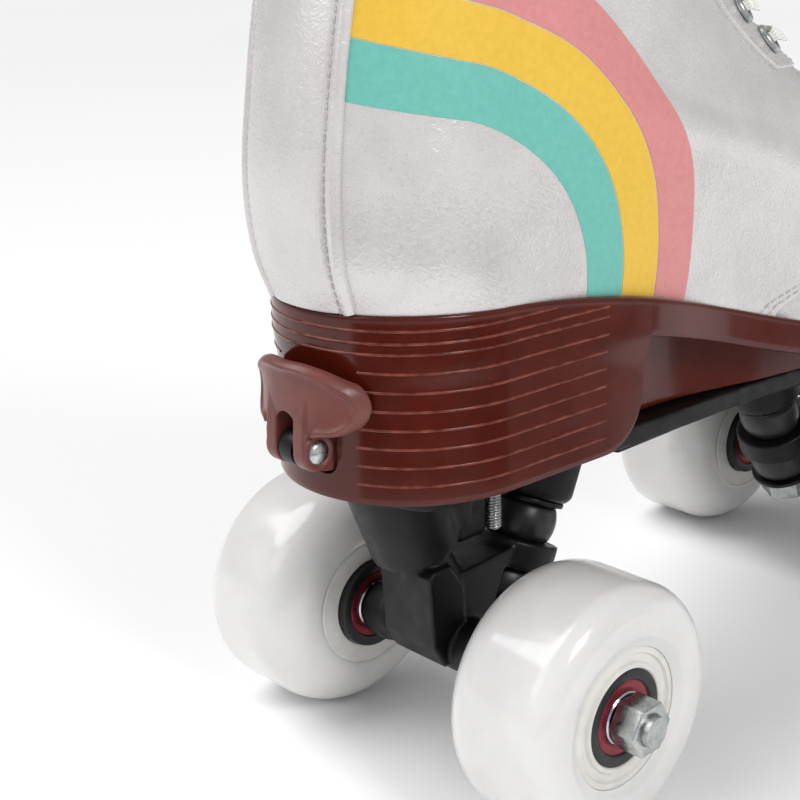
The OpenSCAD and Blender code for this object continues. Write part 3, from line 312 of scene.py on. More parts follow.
def vary(tree, shader, target, pattern, low, high, span=(0.35, 0.65)):
    """Varies one input of a shader by a pattern, which is a socket or the (size in mm, detail, roughness,
    distortion) of a noise. A colour goes from low to high in sRGB hex over the pattern's span, and Roughness
    in plain values. For a normal, low is the relief's depth in mm and high its strength."""
    if isinstance(pattern, tuple):
        size, detail, roughness, twist = pattern + (0.5, 0.0)[len(pattern) - 2:]
        at = add(tree, "ShaderNodeTexCoord").outputs["Object"]
        pattern = add(tree, "ShaderNodeTexNoise", {"Vector": at, "Scale": per_mm(size), "Detail": detail,
                                                   "Roughness": roughness, "Distortion": twist}).outputs["Fac"]
    if target == "Base Color":
        ramp = add(tree, "ShaderNodeMapRange", {"Value": pattern, "From Min": span[0], "From Max": span[1]})
        result = add(tree, "ShaderNodeMix", {0: ramp.outputs["Result"], 6: srgb(low), 7: srgb(high)},
                     data_type="RGBA").outputs[2]
    elif target == "Roughness":
        result = add(tree, "ShaderNodeMapRange", {"Value": pattern, "From Min": 0.3, "From Max": 0.7,
                                                  "To Min": low, "To Max": high}).outputs["Result"]
    else:
        result = add(tree, "ShaderNodeBump", {"Height": pattern, "Distance": low * 0.001,
                                              "Strength": high}).outputs["Normal"]
    tree.links.new(result, shader.inputs[target])


def make_pearl_leather():
    """Pearl-coated faux leather: a crinkled PU skin whose foil-like coat glints on each small crease."""
    mat, tree, shader = new_material("pearl_coated_faux_leather", "#d9d5d4", 0.34, Metallic=0.3,
                                     Coat_Weight=0.4, Coat_Roughness=0.18)
    crinkle = (1.9, 1.5, 0.5, 2.2)
    vary(tree, shader, "Base Color", (9, 3), "#cdc9c8", "#d3d0cf")
    vary(tree, shader, "Roughness", crinkle, 0.36, 0.26)
    vary(tree, shader, "Normal", crinkle, 0.12, 1.0)
    vary(tree, shader, "Coat Normal", crinkle, 0.17, 1.0)
    return mat


def make_stripe_film(name, dark, light):
    """Printed polyurethane film: satin, flat colour with the leather's grain showing faintly through."""
    mat, tree, shader = new_material(name, light, 0.5, Coat_Weight=0.08)
    vary(tree, shader, "Base Color", (1.5, 3), dark, light)
    vary(tree, shader, "Normal", (1.5, 3, 0.55, 2.2), 0.08, 0.6)
    return mat


def make_sole_plastic(name, dark, light, size):
    """Glossy moulded thermoplastic sole: deep mahogany under a polished mould skin, faint flow marks."""
    mat, tree, shader = new_material(name, dark, 0.16, Coat_Weight=0.06, Coat_Roughness=0.06,
                                     Specular_IOR_Level=0.34)
    vary(tree, shader, "Base Color", (size, 3), dark, light)
    vary(tree, shader, "Roughness", (5, 3), 0.12, 0.2)
    vary(tree, shader, "Normal", (2.6, 2), 0.02, 0.5)
    return mat


def make_lever_plastic():
    """Satin moulded nylon lever: mauve brown with a fine spark-eroded mould grain."""
    mat, tree, shader = new_material("satin_moulded_nylon_mauve", "#70403a", 0.34,
                                     Specular_IOR_Level=0.42)
    vary(tree, shader, "Base Color", (6, 3), "#653631", "#713f39")
    vary(tree, shader, "Roughness", (2, 3), 0.28, 0.4)
    vary(tree, shader, "Normal", (0.45, 3), 0.035, 0.6)
    return mat


def make_black_nylon():
    """Glass-filled nylon moulding: near black, satin, a fine grain and slightly paler worn patches."""
    mat, tree, shader = new_material("glass_filled_nylon_black", "#0d0d0e", 0.38,
                                     Specular_IOR_Level=0.28)
    vary(tree, shader, "Base Color", (11, 4), "#090909", "#121213")
    vary(tree, shader, "Roughness", (4, 3), 0.34, 0.52)
    vary(tree, shader, "Normal", (0.6, 3), 0.04, 0.6)
    return mat


def make_urethane():
    """Cast polyurethane tyre: glossy milky white, light enters it a little, faint dust in the surface."""
    mat, tree, shader = new_material("cast_urethane_white", "#ebeae6", 0.16, Subsurface_Weight=0.12,
                                     Subsurface_Scale=0.004, Coat_Weight=0.35, Coat_Roughness=0.08)
    vary(tree, shader, "Base Color", (16, 3), "#d7d6d5", "#e0dfdd")
    vary(tree, shader, "Roughness", (3, 3), 0.12, 0.24)
    return mat


def make_metal(name, dark, light, rough):
    """Plated or ground steel: bright metal with a soft grain from plating or turning."""
    mat, tree, shader = new_material(name, light, rough, Metallic=1.0)
    vary(tree, shader, "Base Color", (3, 3), dark, light)
    vary(tree, shader, "Roughness", (1.2, 3), rough * 0.75, rough * 1.3)
    vary(tree, shader, "Normal", (0.35, 3), 0.01, 0.6)
    return mat


def make_floor_paint():
    """Painted board under the skate: dull and almost white, with wide faint clouds."""
    mat, tree, shader = new_material("painted_board_pale", "#fcfcfc", 0.75)
    vary(tree, shader, "Base Color", (900, 2), "#fbfbfb", "#fdfdfd")
    return mat


def make_matt(name, dark, light, rough, size, depth, **sockets):
    """Plain dull surface, such as rubber, urethane pads, painted shields or fibre board."""
    mat, tree, shader = new_material(name, light, rough, **sockets)
    vary(tree, shader, "Base Color", (size * 6, 3), dark, light)
    vary(tree, shader, "Roughness", (size * 3, 3), rough * 0.85, min(1, rough * 1.15))
    vary(tree, shader, "Normal", (size, 3), depth, 0.7)
    return mat


def make_weave(name, dark, light, pitch, depth):
    """Woven cloth on the piece's own map, in mm: two thread systems that go over and under."""
    mat, tree, shader = new_material(name, light, 0.85, Sheen_Weight=0.25, Sheen_Roughness=0.5)
    uv = add(tree, "ShaderNodeUVMap").outputs["UV"]
    warp, weft = (add(tree, "ShaderNodeTexWave",
                      {"Vector": uv, "Scale": math.pi / (10 * pitch), "Distortion": 0.3},
                      wave_type="BANDS", bands_direction=way, wave_profile="SIN") for way in "XY")
    height = add(tree, "ShaderNodeMath", {0: warp.outputs["Fac"], 1: weft.outputs["Fac"]},
                 operation="MAXIMUM").outputs[0]
    vary(tree, shader, "Base Color", height, dark, light, (0.2, 0.9))
    vary(tree, shader, "Normal", height, depth, 0.8)
    return mat


pearl = make_pearl_leather()
film_teal = make_stripe_film("printed_film_teal", "#64b3a6", "#6ab9ac")
film_yellow = make_stripe_film("printed_film_yellow", "#deb336", "#e4b93b")
film_pink = make_stripe_film("printed_film_pink", "#cb8280", "#d18886")
sole_gloss = make_sole_plastic("gloss_moulded_sole_plastic", "#461207", "#50170b", 14)
# the ribs are coloured paler than the sole: a painted highlight for the glint along their crests
rib_painted_highlight = make_sole_plastic("sole_plastic_painted_highlight", "#571d12", "#7c3d2f", 3)
lever_satin = make_lever_plastic()
nylon = make_black_nylon()
urethane = make_urethane()
core_white = make_matt("moulded_nylon_core_white", "#d3d2cd", "#dedcd7", 0.4, 0.8, 0.02)
zinc = make_metal("bright_zinc_plated_steel", "#a9adad", "#c9cbca", 0.3)
dark_steel = make_metal("blackened_steel", "#2a2a2b", "#3a3a3c", 0.4)
ground = make_metal("ground_bearing_steel", "#b3b6b9", "#cfd1d3", 0.18)
shield_red = make_matt("anodised_shield_red", "#7a1f2e", "#94303f", 0.32, 0.7, 0.01, Metallic=0.55)
shield_black = make_matt("rubber_seal_black", "#121213", "#1b1b1c", 0.45, 0.6, 0.02)
stop_rubber = make_matt("moulded_rubber_dark_grey", "#2b2a2e", "#37363b", 0.75, 0.7, 0.05)
pad_urethane = make_matt("elastic_urethane_dark", "#161618", "#222226", 0.35, 0.9, 0.02)
fibre = make_matt("tan_fibre_board", "#b09a78", "#c4b08e", 0.85, 0.6, 0.08)
# grey thread, its colour darkened partly as painted shade of the groove the stitches sit in
thread = make_matt("polyester_thread_grey_and_painted_shade", "#aaa59f", "#bfbab4", 0.6, 0.25, 0.02, Sheen_Weight=0.2)
lining_cloth = make_weave("brushed_lining_cloth", "#aaa6a3", "#c8c4c1", 0.9, 0.12)
lace_cloth = make_weave("flat_woven_cotton", "#d5d3cd", "#f3f2ee", 0.8, 0.18)
bed_cloth = make_weave("footbed_knit", "#8f8985", "#a8a29d", 1.1, 0.15)
card_grey = make_matt("painted_card_grey", "#7c7c7c", "#848484", 0.8, 2.0, 0.02)
floor_pale = make_floor_paint()


# MESHES

def to_frame(points):
    return (np.asarray(points, float).reshape(-1, 3) - [FRAME_X, 0, 0]) * 0.001


def linked(name, data):
    """New object in the scene."""
    obj = bpy.data.objects.new(name, data)
    bpy.context.scene.collection.objects.link(obj)
    return obj


def discard(objs):
    """Removes mesh objects and their meshes."""
    for obj in objs:
        mesh = obj.data
        bpy.data.objects.remove(obj)
        bpy.data.meshes.remove(mesh)


def mesh_piece(name, points, faces, material, sharp=35.0, closed=True, uv=None):
    """Plain mesh object from points in mm. A closed shape's faces are turned outwards."""
    mesh = bpy.data.meshes.new(name)
    mesh.from_pydata(to_frame(points).tolist(), [], [tuple(int(i) for i in f) for f in faces])
    if uv is not None:
        layer = mesh.uv_layers.new(name="UVMap")
        index = np.zeros(len(mesh.loops), int)
        mesh.loops.foreach_get("vertex_index", index)
        layer.data.foreach_set("uv", np.asarray(uv, float)[index].ravel())
    obj = linked(name, mesh)
    if closed:
        bm = bmesh.new()
        bm.from_mesh(mesh)
        bmesh.ops.recalc_face_normals(bm, faces=bm.faces)
        bm.to_mesh(mesh)
        bm.free()
    shade(obj, sharp)
    mesh.materials.append(material)
    return obj


def shade(obj, sharp):
    obj.data.polygons.foreach_set("use_smooth", np.ones(len(obj.data.polygons), bool))
    obj.data.set_sharp_from_angle(angle=math.radians(sharp))
    obj.data.update()


def place(obj, body, slot, *nodes):
    """Puts a finished piece on its body, in place of CAD nodes."""
    if nodes:
        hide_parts(*nodes)
    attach(obj, body)
    return obj


def grid_faces(m, n, base=0, close=False):
    """Quads of a grid of m rows and n columns; close joins the last column to the first."""
    j, i = np.meshgrid(np.arange(m - 1), np.arange(n if close else n - 1), indexing="ij")
    a = base + j * n + i
    b = base + j * n + (i + 1) % n
    return np.stack([a, b, b + n, a + n], -1).reshape(-1, 4).tolist()


def rim_faces(m, n, k):
    """Wall between the borders of two grids of m rows and n columns whose points lie k apart."""
    ids = (list(range(n)) + [j * n + n - 1 for j in range(1, m)]
           + [(m - 1) * n + i for i in range(n - 2, -1, -1)] + [j * n for j in range(m - 2, 0, -1)])
    return [(a, b, b + k, a + k) for a, b in zip(ids, ids[1:] + ids[:1])]


def sheet_faces(m, n):
    """Faces of a sheet with a thickness: an outer grid, an inner one and the wall between their borders."""
    return grid_faces(m, n) + [f[::-1] for f in grid_faces(m, n, m * n)] + rim_faces(m, n, m * n)


def tube_faces(m, n, base=0):
    """Faces of a closed tube of m rings with n points each."""
    ends = [list(range(base, base + n)), list(range(base + (m - 1) * n, base + m * n))]
    return grid_faces(m, n, base, close=True) + ends


def with_modifiers(obj):
    """Makes the object's mesh the result of its modifiers and removes them."""
    mesh = bpy.data.meshes.new_from_object(obj.evaluated_get(bpy.context.evaluated_depsgraph_get()))
    obj.modifiers.clear()
    old = obj.data
    name = old.name
    obj.data = mesh
    bpy.data.meshes.remove(old)
    mesh.name = name
    return obj


def merged(name, objs):
    """Joins meshes into one object; their material slots are kept."""
    bm = bmesh.new()
    mats = []
    for o in objs:
        part = bmesh.new()
        part.from_mesh(o.data)
        shift = []
        for mat in o.data.materials:
            if mat not in mats:
                mats.append(mat)
            shift.append(mats.index(mat))
        for f in part.faces:
            f.material_index = shift[f.material_index] if shift else 0
        temp = bpy.data.meshes.new("temp")
        part.to_mesh(temp)
        part.free()
        bm.from_mesh(temp)
        bpy.data.meshes.remove(temp)
    mesh = bpy.data.meshes.new(name)
    bm.to_mesh(mesh)
    bm.free()
    for mat in mats:
        mesh.materials.append(mat)
    discard(objs)
    return linked(name, mesh)


def lathe(profile, centre, axis, steps=72):
    """Points and faces of a closed turned shape: profile is (radius, along) pairs from end to end."""
    axis = np.asarray(axis, float) / np.linalg.norm(axis)
    side = np.cross(axis, [0.0, 0.0, 1.0] if abs(axis[2]) < 0.9 else [1.0, 0.0, 0.0])
    side /= np.linalg.norm(side)
    third = np.cross(axis, side)
    t = np.linspace(0, 2 * np.pi, steps, endpoint=False)
    ring = np.cos(t)[:, None] * side + np.sin(t)[:, None] * third
    pts, first = [], []
    for r, a in profile:
        first.append((len(pts), r > 1e-6))
        if r > 1e-6:
            pts += (np.asarray(centre) + a * axis + r * ring).tolist()
        else:
            pts.append((np.asarray(centre) + a * axis).tolist())
    faces = []
    for (p, wide), (q, wide2) in zip(first[:-1], first[1:]):
        for i in range(steps):
            k = (i + 1) % steps
            if wide and wide2:
                faces.append((p + i, p + k, q + k, q + i))
            elif wide:
                faces.append((p + i, p + k, q))
            elif wide2:
                faces.append((p, q + k, q + i))
    return pts, faces


def ring_lathe(profile, centre, axis, steps=72):
    """Turned ring: the profile is a closed loop of (radius, along) pairs."""
    return lathe(list(profile) + [profile[0]], centre, axis, steps)


def turned(name, profiles, material, sharp=35.0):
    """One object of several turned shapes, given as (points, faces)."""
    pts, faces = [], []
    for p, f in profiles:
        base = len(pts)
        pts += p
        faces += [tuple(i + base for i in q) for q in f]
    obj = mesh_piece(name, pts, faces, material, sharp)
    bm = bmesh.new()
    bm.from_mesh(obj.data)
    bmesh.ops.remove_doubles(bm, verts=bm.verts, dist=1e-7)
    bmesh.ops.recalc_face_normals(bm, faces=bm.faces)
    bm.to_mesh(obj.data)
    bm.free()
    shade(obj, sharp)
    return obj


def paint(obj, material):
    obj.data.materials.clear()
    obj.data.materials.append(material)


def melt_edges(obj, voxel, rounds, material, sharp):
    """Rounds every edge as on a moulding: a fine remesh in mm, then rounds of smoothing."""
    melt = obj.modifiers.new("melt", "REMESH")
    melt.mode = "VOXEL"
    melt.voxel_size = voxel * 0.001
    soften = obj.modifiers.new("soften", "SMOOTH")
    soften.factor = 0.5
    soften.iterations = rounds
    with_modifiers(obj)
    paint(obj, material)
    shade(obj, sharp)


def node_copy(node):
    """The CAD node's mesh as a bmesh, its points joined."""
    bm = bmesh.new()
    bm.from_mesh(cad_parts[node].data)
    bmesh.ops.remove_doubles(bm, verts=bm.verts, dist=2e-6)
    return bm


def moulded(node, voxel, rounds, material, body, slot):
    """Copy of a CAD node with the soft edges of a moulding, in its place."""
    bm = node_copy(node)
    mesh = bpy.data.meshes.new(node)
    bm.to_mesh(mesh)
    bm.free()
    obj = linked("moulded_" + node, mesh)
    melt_edges(obj, voxel, rounds, material, 60)
    return place(obj, body, slot, node)


def machined(node, bevel, material, body, slot):
    """Copy of a CAD node with merged faces and lightly broken edges, in its place."""
    bm = node_copy(node)
    bmesh.ops.dissolve_limit(bm, angle_limit=math.radians(0.8), verts=bm.verts, edges=bm.edges)
    edges = [e for e in bm.edges if len(e.link_faces) == 2 and e.calc_face_angle(0) > math.radians(38)]
    bmesh.ops.bevel(bm, geom=edges, offset=bevel * 0.001, segments=2, profile=0.6, affect="EDGES",
                    clamp_overlap=True)
    mesh = bpy.data.meshes.new(node)
    bm.to_mesh(mesh)
    bm.free()
    obj = linked("machined_" + node, mesh)
    paint(obj, material)
    shade(obj, 32)
    return place(obj, body, slot, node)


# SOLE AND HEEL

def heel_back_at(z):
    return HEEL_BACK - 0.4 + 1.3 * clamp01((z - DECK) / HEEL_H)


def heel_r_at(z):
    return HEEL_R + HEEL_SPREAD * (1 - clamp01((z - DECK) / HEEL_H))


HEEL_ROUND = 12.0  # corner where the heel's front meets its foot, mm


def heel_columns(back_n, flank_n, corner_n):
    """Columns of one side of the heel, from back to front: angle round the back, share of the flank and angle
    round the front corner."""
    cols = [(a, 0.0, 0.0) for a in np.linspace(0, np.pi / 2, back_n + 1)]
    cols += [(np.pi / 2, f, 0.0) for f in np.linspace(0, 1, flank_n + 1)[1:]]
    cols += [(np.pi / 2, 1.0, q) for q in np.linspace(0, np.pi / 2, corner_n + 1)[1:]]
    return np.array(cols)


def heel_wall(cols, z, side, grow=0.0):
    """Point of the heel's wall at a column and a height; it runs into the sole's band at the top."""
    a, f, q = cols[..., 0], cols[..., 1], cols[..., 2]
    r = heel_r_at(z)
    c = heel_back_at(z) + r
    flank = mix(c, BREAST_X - 2.5 - HEEL_ROUND, f) + HEEL_ROUND * np.sin(q)
    flank = flank + 1.4 * np.sin(q) * clamp01((z - FLOOR_Z - HEEL_ROUND) / 14)
    round_back = a < np.pi / 2 - 1e-9
    x = np.where(round_back, c - r * np.cos(a), flank)
    y = np.where(round_back, r * np.sin(a), r + 0.045 * (flank - c))
    bx, by = sole_xy(np.where(round_back, HEEL_SHARE * a / (np.pi / 2), 0.3) * side)
    by = np.where(round_back, by, mid_y(x) + side * half_w(x))
    bx = np.where(round_back, bx, x)
    w = ease((z - sole_low(x) + 8) / 9)
    nx = np.where(round_back, -np.cos(a), 0.0)
    ny = np.where(round_back, np.sin(a), 1.0)
    return np.stack([mix(x, bx, w) + grow * nx, mix(side * y, by, w) + grow * side * ny, z], -1)


def heel_solid():
    cols = heel_columns(44, 22, 14)
    both = np.concatenate([cols[::-1], cols[1:]])
    side = np.concatenate([-np.ones(len(cols)), np.ones(len(cols) - 1)])
    x = heel_wall(both, np.full(len(both), 100.0), side)[:, 0]
    low = FLOOR_Z + HEEL_ROUND * (1 - np.cos(both[:, 2]))
    high = feather(x)
    rows = [(low, 0.7), (low + 0.2, 0.2), (low + 0.7, 0.0)]
    rows += [(mix(low + 0.7, high - 1.2, t), 0.0) for t in np.linspace(0, 1, 42)[1:]]
    rows += [(high - 0.5, 0.08), (high - 0.15, 0.3), (high, 0.7)]
    pts = np.array([heel_wall(both, z, side, -inset) for z, inset in rows])
    m, n = pts.shape[:2]
    faces = grid_faces(m, n)
    k = n // 2
    for j in (0, m - 1):
        faces += [(j * n + i, j * n + i + 1, j * n + n - 2 - i, j * n + n - 1 - i) for i in range(k - 1)]
        faces.append((j * n + k - 1, j * n + k, j * n + k + 1))
    faces += [(j * n, j * n + n - 1, (j + 1) * n + n - 1, (j + 1) * n) for j in range(m - 1)]
    return mesh_piece("heel", pts.reshape(-1, 3), faces, sole_gloss, 40)


def band_solid():
    """The sole's band from heel to toe; it runs hidden inside the heel at the back."""
    n = 300
    k = np.arange(n)
    share = np.where(k <= n // 2, -2 * k / n, 2 * (n - k) / n)
    x, _ = sole_xy(share)
    hide = 0.35 * (1 - ease((x - BREAST_X + 6) / 5.5))
    rows = []
    # each row: mm from an edge, or None for a share of the height; the edge or the share; inset in mm
    for up, top, inset in ((0, 0, 1.0), (0.3, 0, 0.3), (1.0, 0, 0), (None, 0.25, 0), (None, 0.5, 0),
                           (None, 0.75, 0), (1.2, 1, 0), (0.5, 1, 0.08), (0.15, 1, 0.3), (0, 1, 0.7)):
        px, py = sole_xy(share, inset)
        px = np.where(x < BREAST_X, px + hide * np.cos(np.pi / 2 * clamp01(np.abs(share) / HEEL_SHARE)), px)
        py = py - np.sign(py - mid_y(px)) * np.where(np.abs(share) > HEEL_SHARE * 0.3, hide, 0)
        lo, hi = sole_low(px), feather(px)
        z = mix(lo, hi, top) if up is None else (hi - up if top else lo + up)
        rows.append(np.stack([px, py, z - hide], -1))
    pts = np.array(rows)
    m = len(rows)
    faces = grid_faces(m, n, close=True)
    h = n // 2
    for j in (0, m - 1):
        b = j * n
        faces.append((b, b + 1, b + n - 1))
        faces += [(b + i, b + i + 1, b + n - i - 1, b + n - i) for i in range(1, h - 1)]
        faces.append((b + h - 1, b + h, b + h + 1))
    return mesh_piece("band", pts.reshape(-1, 3), faces, sole_gloss, 40)


def web_solid():
    """The thin wall under the waist, set back from the band's edge."""
    x = np.linspace(BREAST_X - 3, 110, 40)
    inset = mix(15, 11, clamp01((x - BREAST_X) / 50))
    low, high = np.full_like(x, FLOOR_Z + 0.3), sole_low(x) + 1.0
    a, b = mid_y(x) - half_w(x) + inset, mid_y(x) + half_w(x) - inset
    loop = [(a, low + 0.5), (a + 0.5, low), (b - 0.5, low), (b, low + 0.5), (b, high), (a, high)]
    pts = np.array([np.stack([x, y, z], -1) for y, z in loop]).transpose(1, 0, 2)
    return mesh_piece("web", pts.reshape(-1, 3), tube_faces(len(x), len(loop)), sole_gloss, 40)


def prism(outline, x0, x1):
    """Closed bar along x with an outline of (y, z) points."""
    return [(x, y, z) for x in (x0, x1) for y, z in outline], tube_faces(2, len(outline))


def carve(obj, tools):
    """Cuts closed shapes out of an object."""
    for tool in tools:
        cut = obj.modifiers.new("cut", "BOOLEAN")
        cut.operation = "DIFFERENCE"
        cut.solver = "EXACT"
        cut.object = tool
    with_modifiers(obj)
    discard(tools)
    return obj


POCKET_HALF, POCKET_R = 7.3, 3.0
POCKET_X = (-70, -20.65)
CAVITY_HALF, CAVITY_TOP = 15.8, 98.7
CAVITY_X = (-20.7, 27.55)


def pocket_outline():
    """Rounded opening in the heel's back, where the lever sits."""
    low, high, half, r = DECK + 5.6, PIN_Z + 14, POCKET_HALF, POCKET_R
    pts = []
    for cy, cz, a0 in ((-half + r, low + r, 180), (half - r, low + r, 270), (half - r, high - r, 0),
                       (-half + r, high - r, 90)):
        for a in np.radians(np.linspace(a0, a0 + 90, 9)):
            pts.append((cy + r * math.cos(a), cz + r * math.sin(a)))
    return pts


# GEOMETRY NODES

def node_tree(name, inputs):
    tree = bpy.data.node_groups.new(name, "GeometryNodeTree")
    tree.interface.new_socket("Geometry", in_out="INPUT", socket_type="NodeSocketGeometry")
    for key, kind, value in inputs:
        tree.interface.new_socket(key, in_out="INPUT", socket_type=kind).default_value = value
    tree.interface.new_socket("Geometry", in_out="OUTPUT", socket_type="NodeSocketGeometry")
    return tree, add(tree, "NodeGroupInput").outputs


def finish_tree(tree, geometry, material):
    solid = add(tree, "GeometryNodeRealizeInstances", {"Geometry": geometry}).outputs["Geometry"]
    smooth = add(tree, "GeometryNodeSetShadeSmooth", {"Geometry": solid}).outputs["Geometry"]
    painted = add(tree, "GeometryNodeSetMaterial", {"Geometry": smooth, "Material": material})
    add(tree, "NodeGroupOutput", {"Geometry": painted.outputs["Geometry"]})
    return tree


def facing(tree, along, out):
    """Rotation with X along a path and Z out of the surface."""
    first = add(tree, "FunctionNodeAlignRotationToVector", {"Vector": along}, axis="X")
    both = add(tree, "FunctionNodeAlignRotationToVector",
               {"Rotation": first.outputs["Rotation"], "Vector": out}, axis="Z", pivot_axis="X")
    return both.outputs["Rotation"]


def sewing_tree(material):
    """Lays a stitch on each step of a path."""
    tree, given = node_tree("sewn_stitches", [("Pitch", "NodeSocketFloat", 0.0024),
                                              ("Stitch", "NodeSocketVector", (0.0009, 0.0003, 0.00026))])
    path = add(tree, "GeometryNodeMeshToCurve", {"Mesh": given["Geometry"]}).outputs["Curve"]
    steps = add(tree, "GeometryNodeResampleCurve", {"Curve": path, "Length": given["Pitch"]}, mode="LENGTH")
    out = add(tree, "GeometryNodeInputNamedAttribute", {"Name": "out"}, data_type="FLOAT_VECTOR")
    turn = facing(tree, add(tree, "GeometryNodeInputTangent").outputs["Tangent"], out.outputs["Attribute"])
    bead = add(tree, "GeometryNodeMeshIcoSphere", {"Radius": 1.0, "Subdivisions": 2}).outputs["Mesh"]
    laid = add(tree, "GeometryNodeInstanceOnPoints",
               {"Points": steps.outputs["Curve"], "Instance": bead, "Rotation": turn,
                "Scale": given["Stitch"]})
    return finish_tree(tree, laid.outputs["Instances"], material)


def rib_tree(material):
    """Sweeps a thin bead along a path, as thick as the path's taper says."""
    tree, given = node_tree("round_beads", [("Radius", "NodeSocketFloat", 0.0004)])
    path = add(tree, "GeometryNodeMeshToCurve", {"Mesh": given["Geometry"]}).outputs["Curve"]
    taper = add(tree, "GeometryNodeInputNamedAttribute", {"Name": "taper"}, data_type="FLOAT")
    sized = add(tree, "GeometryNodeSetCurveRadius", {"Curve": path, "Radius": taper.outputs["Attribute"]})
    round_ = add(tree, "GeometryNodeCurvePrimitiveCircle", {"Resolution": 10, "Radius": given["Radius"]})
    bead = add(tree, "GeometryNodeCurveToMesh",
               {"Curve": sized.outputs["Curve"], "Profile Curve": round_.outputs["Curve"], "Fill Caps": True})
    return finish_tree(tree, bead.outputs["Mesh"], material)


def grow(name, tree, paths, sizes=(), **marks):
    """Runs a tree over paths of points in mm and gives the plain mesh. marks are values on the points."""
    pts, edges = [], []
    for path in paths:
        base = len(pts)
        pts += np.asarray(path).tolist()
        edges += [(base + i, base + i + 1) for i in range(len(path) - 1)]
    mesh = bpy.data.meshes.new(name)
    mesh.from_pydata(to_frame(pts).tolist(), edges, [])
    for key, value in marks.items():
        value = np.concatenate([np.asarray(v, float) for v in value])
        kind, field = ("FLOAT_VECTOR", "vector") if value.ndim == 2 else ("FLOAT", "value")
        mesh.attributes.new(key, kind, "POINT").data.foreach_set(field, value.ravel())
    obj = linked(name, mesh)
    made = obj.modifiers.new("made", "NODES")
    made.node_group = tree
    named = {item.name: item.identifier for item in tree.interface.items_tree
             if item.item_type == "SOCKET" and item.in_out == "INPUT"}
    for key, value in dict(sizes).items():
        made[named[key]] = value
    return with_modifiers(obj)


RIB_HEIGHTS = [80.7 + 3.95 * k for k in range(8)] + [110.6, 113.2]
RIB_END_X = 29.5    # the ribs end here, ahead of the heel's corner
RIB_CUT_Z = 107.0   # ribs below this stop beside the lever
RIB_CUT_Y = 11.5


def heel_rib_paths():
    """Thin raised lines round the heel; those at the clip's height stop short of the pocket."""
    cols = heel_columns(90, 30, 2)[:-2]
    paths, tapers = [], []
    for z in RIB_HEIGHTS:
        for side in (-1, 1):
            p = heel_wall(cols, np.full(len(cols), z), side, -0.1)
            keep = (p[:, 0] < RIB_END_X) & (p[:, 2] < feather(p[:, 0]) - 1.3)
            if z < RIB_CUT_Z:
                keep &= np.abs(p[:, 1]) > RIB_CUT_Y
            p = p[keep]
            walk = walked(p)
            fade = ease((walk[-1] - walk) / 6)
            if z < RIB_CUT_Z:
                fade = fade * ease(walk / 4)
            paths.append(p)
            tapers.append(0.12 + 0.88 * fade)
    return paths, tapers


def make_sole():
    low = DECK - 5
    box = [(-CAVITY_HALF, low), (CAVITY_HALF, low), (CAVITY_HALF, CAVITY_TOP), (-CAVITY_HALF, CAVITY_TOP)]
    heel = carve(heel_solid(), [mesh_piece("pocket", *prism(pocket_outline(), *POCKET_X), sole_gloss),
                                mesh_piece("cavity", *prism(box, *CAVITY_X), sole_gloss)])
    shade(heel, 40)
    paths, tapers = heel_rib_paths()
    # the ribs carry the paler colour that paints the highlight on their crests
    ribs = grow("ribs", rib_tree(rib_painted_highlight), paths, {"Radius": 0.00034}, taper=tapers)
    sole = merged("moulded_sole", [heel, band_solid(), web_solid(), ribs])
    place(sole, "boot", "sole_plastic", "sole_band", "heel_block")


# LEVER

PAD_R, PAD_BEND, PAD_T, LOBE_R = 16.0, 19.0, 2.4, 6.1
EAR_IN, EAR_OUT, EAR_R, SLOT_R = 2.7, 5.9, 4.2, 3.2


def pad_edges(ay):
    """Lower and upper edge of the lever's pad at a distance from its middle; the slot opens it from below."""
    low, top, mid, end = PIN_Z + 4.3, PIN_Z + 19.2, PAD_R - LOBE_R, math.radians(54)
    bulge = np.sqrt(np.maximum(0, LOBE_R**2 - np.maximum(0, ay - mid) ** 2))
    z0 = np.where(ay > mid, low + LOBE_R - bulge, low)
    z0 = np.where(ay < SLOT_R, PIN_Z + 5.2 + np.sqrt(np.maximum(0, SLOT_R**2 - ay**2)), z0)
    corner = mid + LOBE_R * math.cos(end)
    crown = curve([0, 5, 9.5, corner], [top, top - 0.1, top - 1.4, low + LOBE_R * (1 + math.sin(end))], ay)
    return z0, np.where(ay > corner, low + LOBE_R + bulge, crown)


def pad_solid():
    """The butterfly pad: bent round the heel, with a rolled lip along its top and its two lobes."""
    half = np.sin(np.linspace(0, np.pi / 2, 70)) * (PAD_R - 0.02)
    y = np.concatenate([-half[::-1], half[1:]])
    z0, z1 = pad_edges(np.abs(y))
    rows = 52
    t = (1 - np.cos(np.linspace(0, np.pi, rows))) / 2
    yy = np.repeat(y[None], rows, 0)
    zz = z0[None] + (z1 - z0)[None] * t[:, None]
    edge = np.concatenate([np.stack([y, z1], -1), np.stack([y, z0], -1)[np.abs(y) > 8.5]])
    gap = np.min(np.hypot(yy[..., None] - edge[:, 0], zz[..., None] - edge[:, 1]), -1)
    rolled = (1 - clamp01(gap / 0.8)) ** 2
    lip = 0.75 * np.exp(-((gap - 1.05) / 0.7) ** 2) - 0.7 * rolled - 0.3 * ease(gap / 6)
    bend = PIN_X - EAR_R + 0.2 + PAD_BEND
    heel_r = float(heel_r_at(PIN_Z))
    heel_c = float(heel_back_at(PIN_Z)) + heel_r
    outer = bend - np.sqrt((PAD_BEND + lip) ** 2 - yy**2)
    inner = np.minimum(bend - np.sqrt((PAD_BEND - PAD_T) ** 2 - yy**2),
                       heel_c - np.sqrt((heel_r + 0.8) ** 2 - yy**2)) - 0.5 * rolled
    pts = np.concatenate([np.stack([x, yy, zz], -1).reshape(-1, 3) for x in (outer, inner)])
    return mesh_piece("pad", pts, sheet_faces(rows, len(y)), lever_satin)


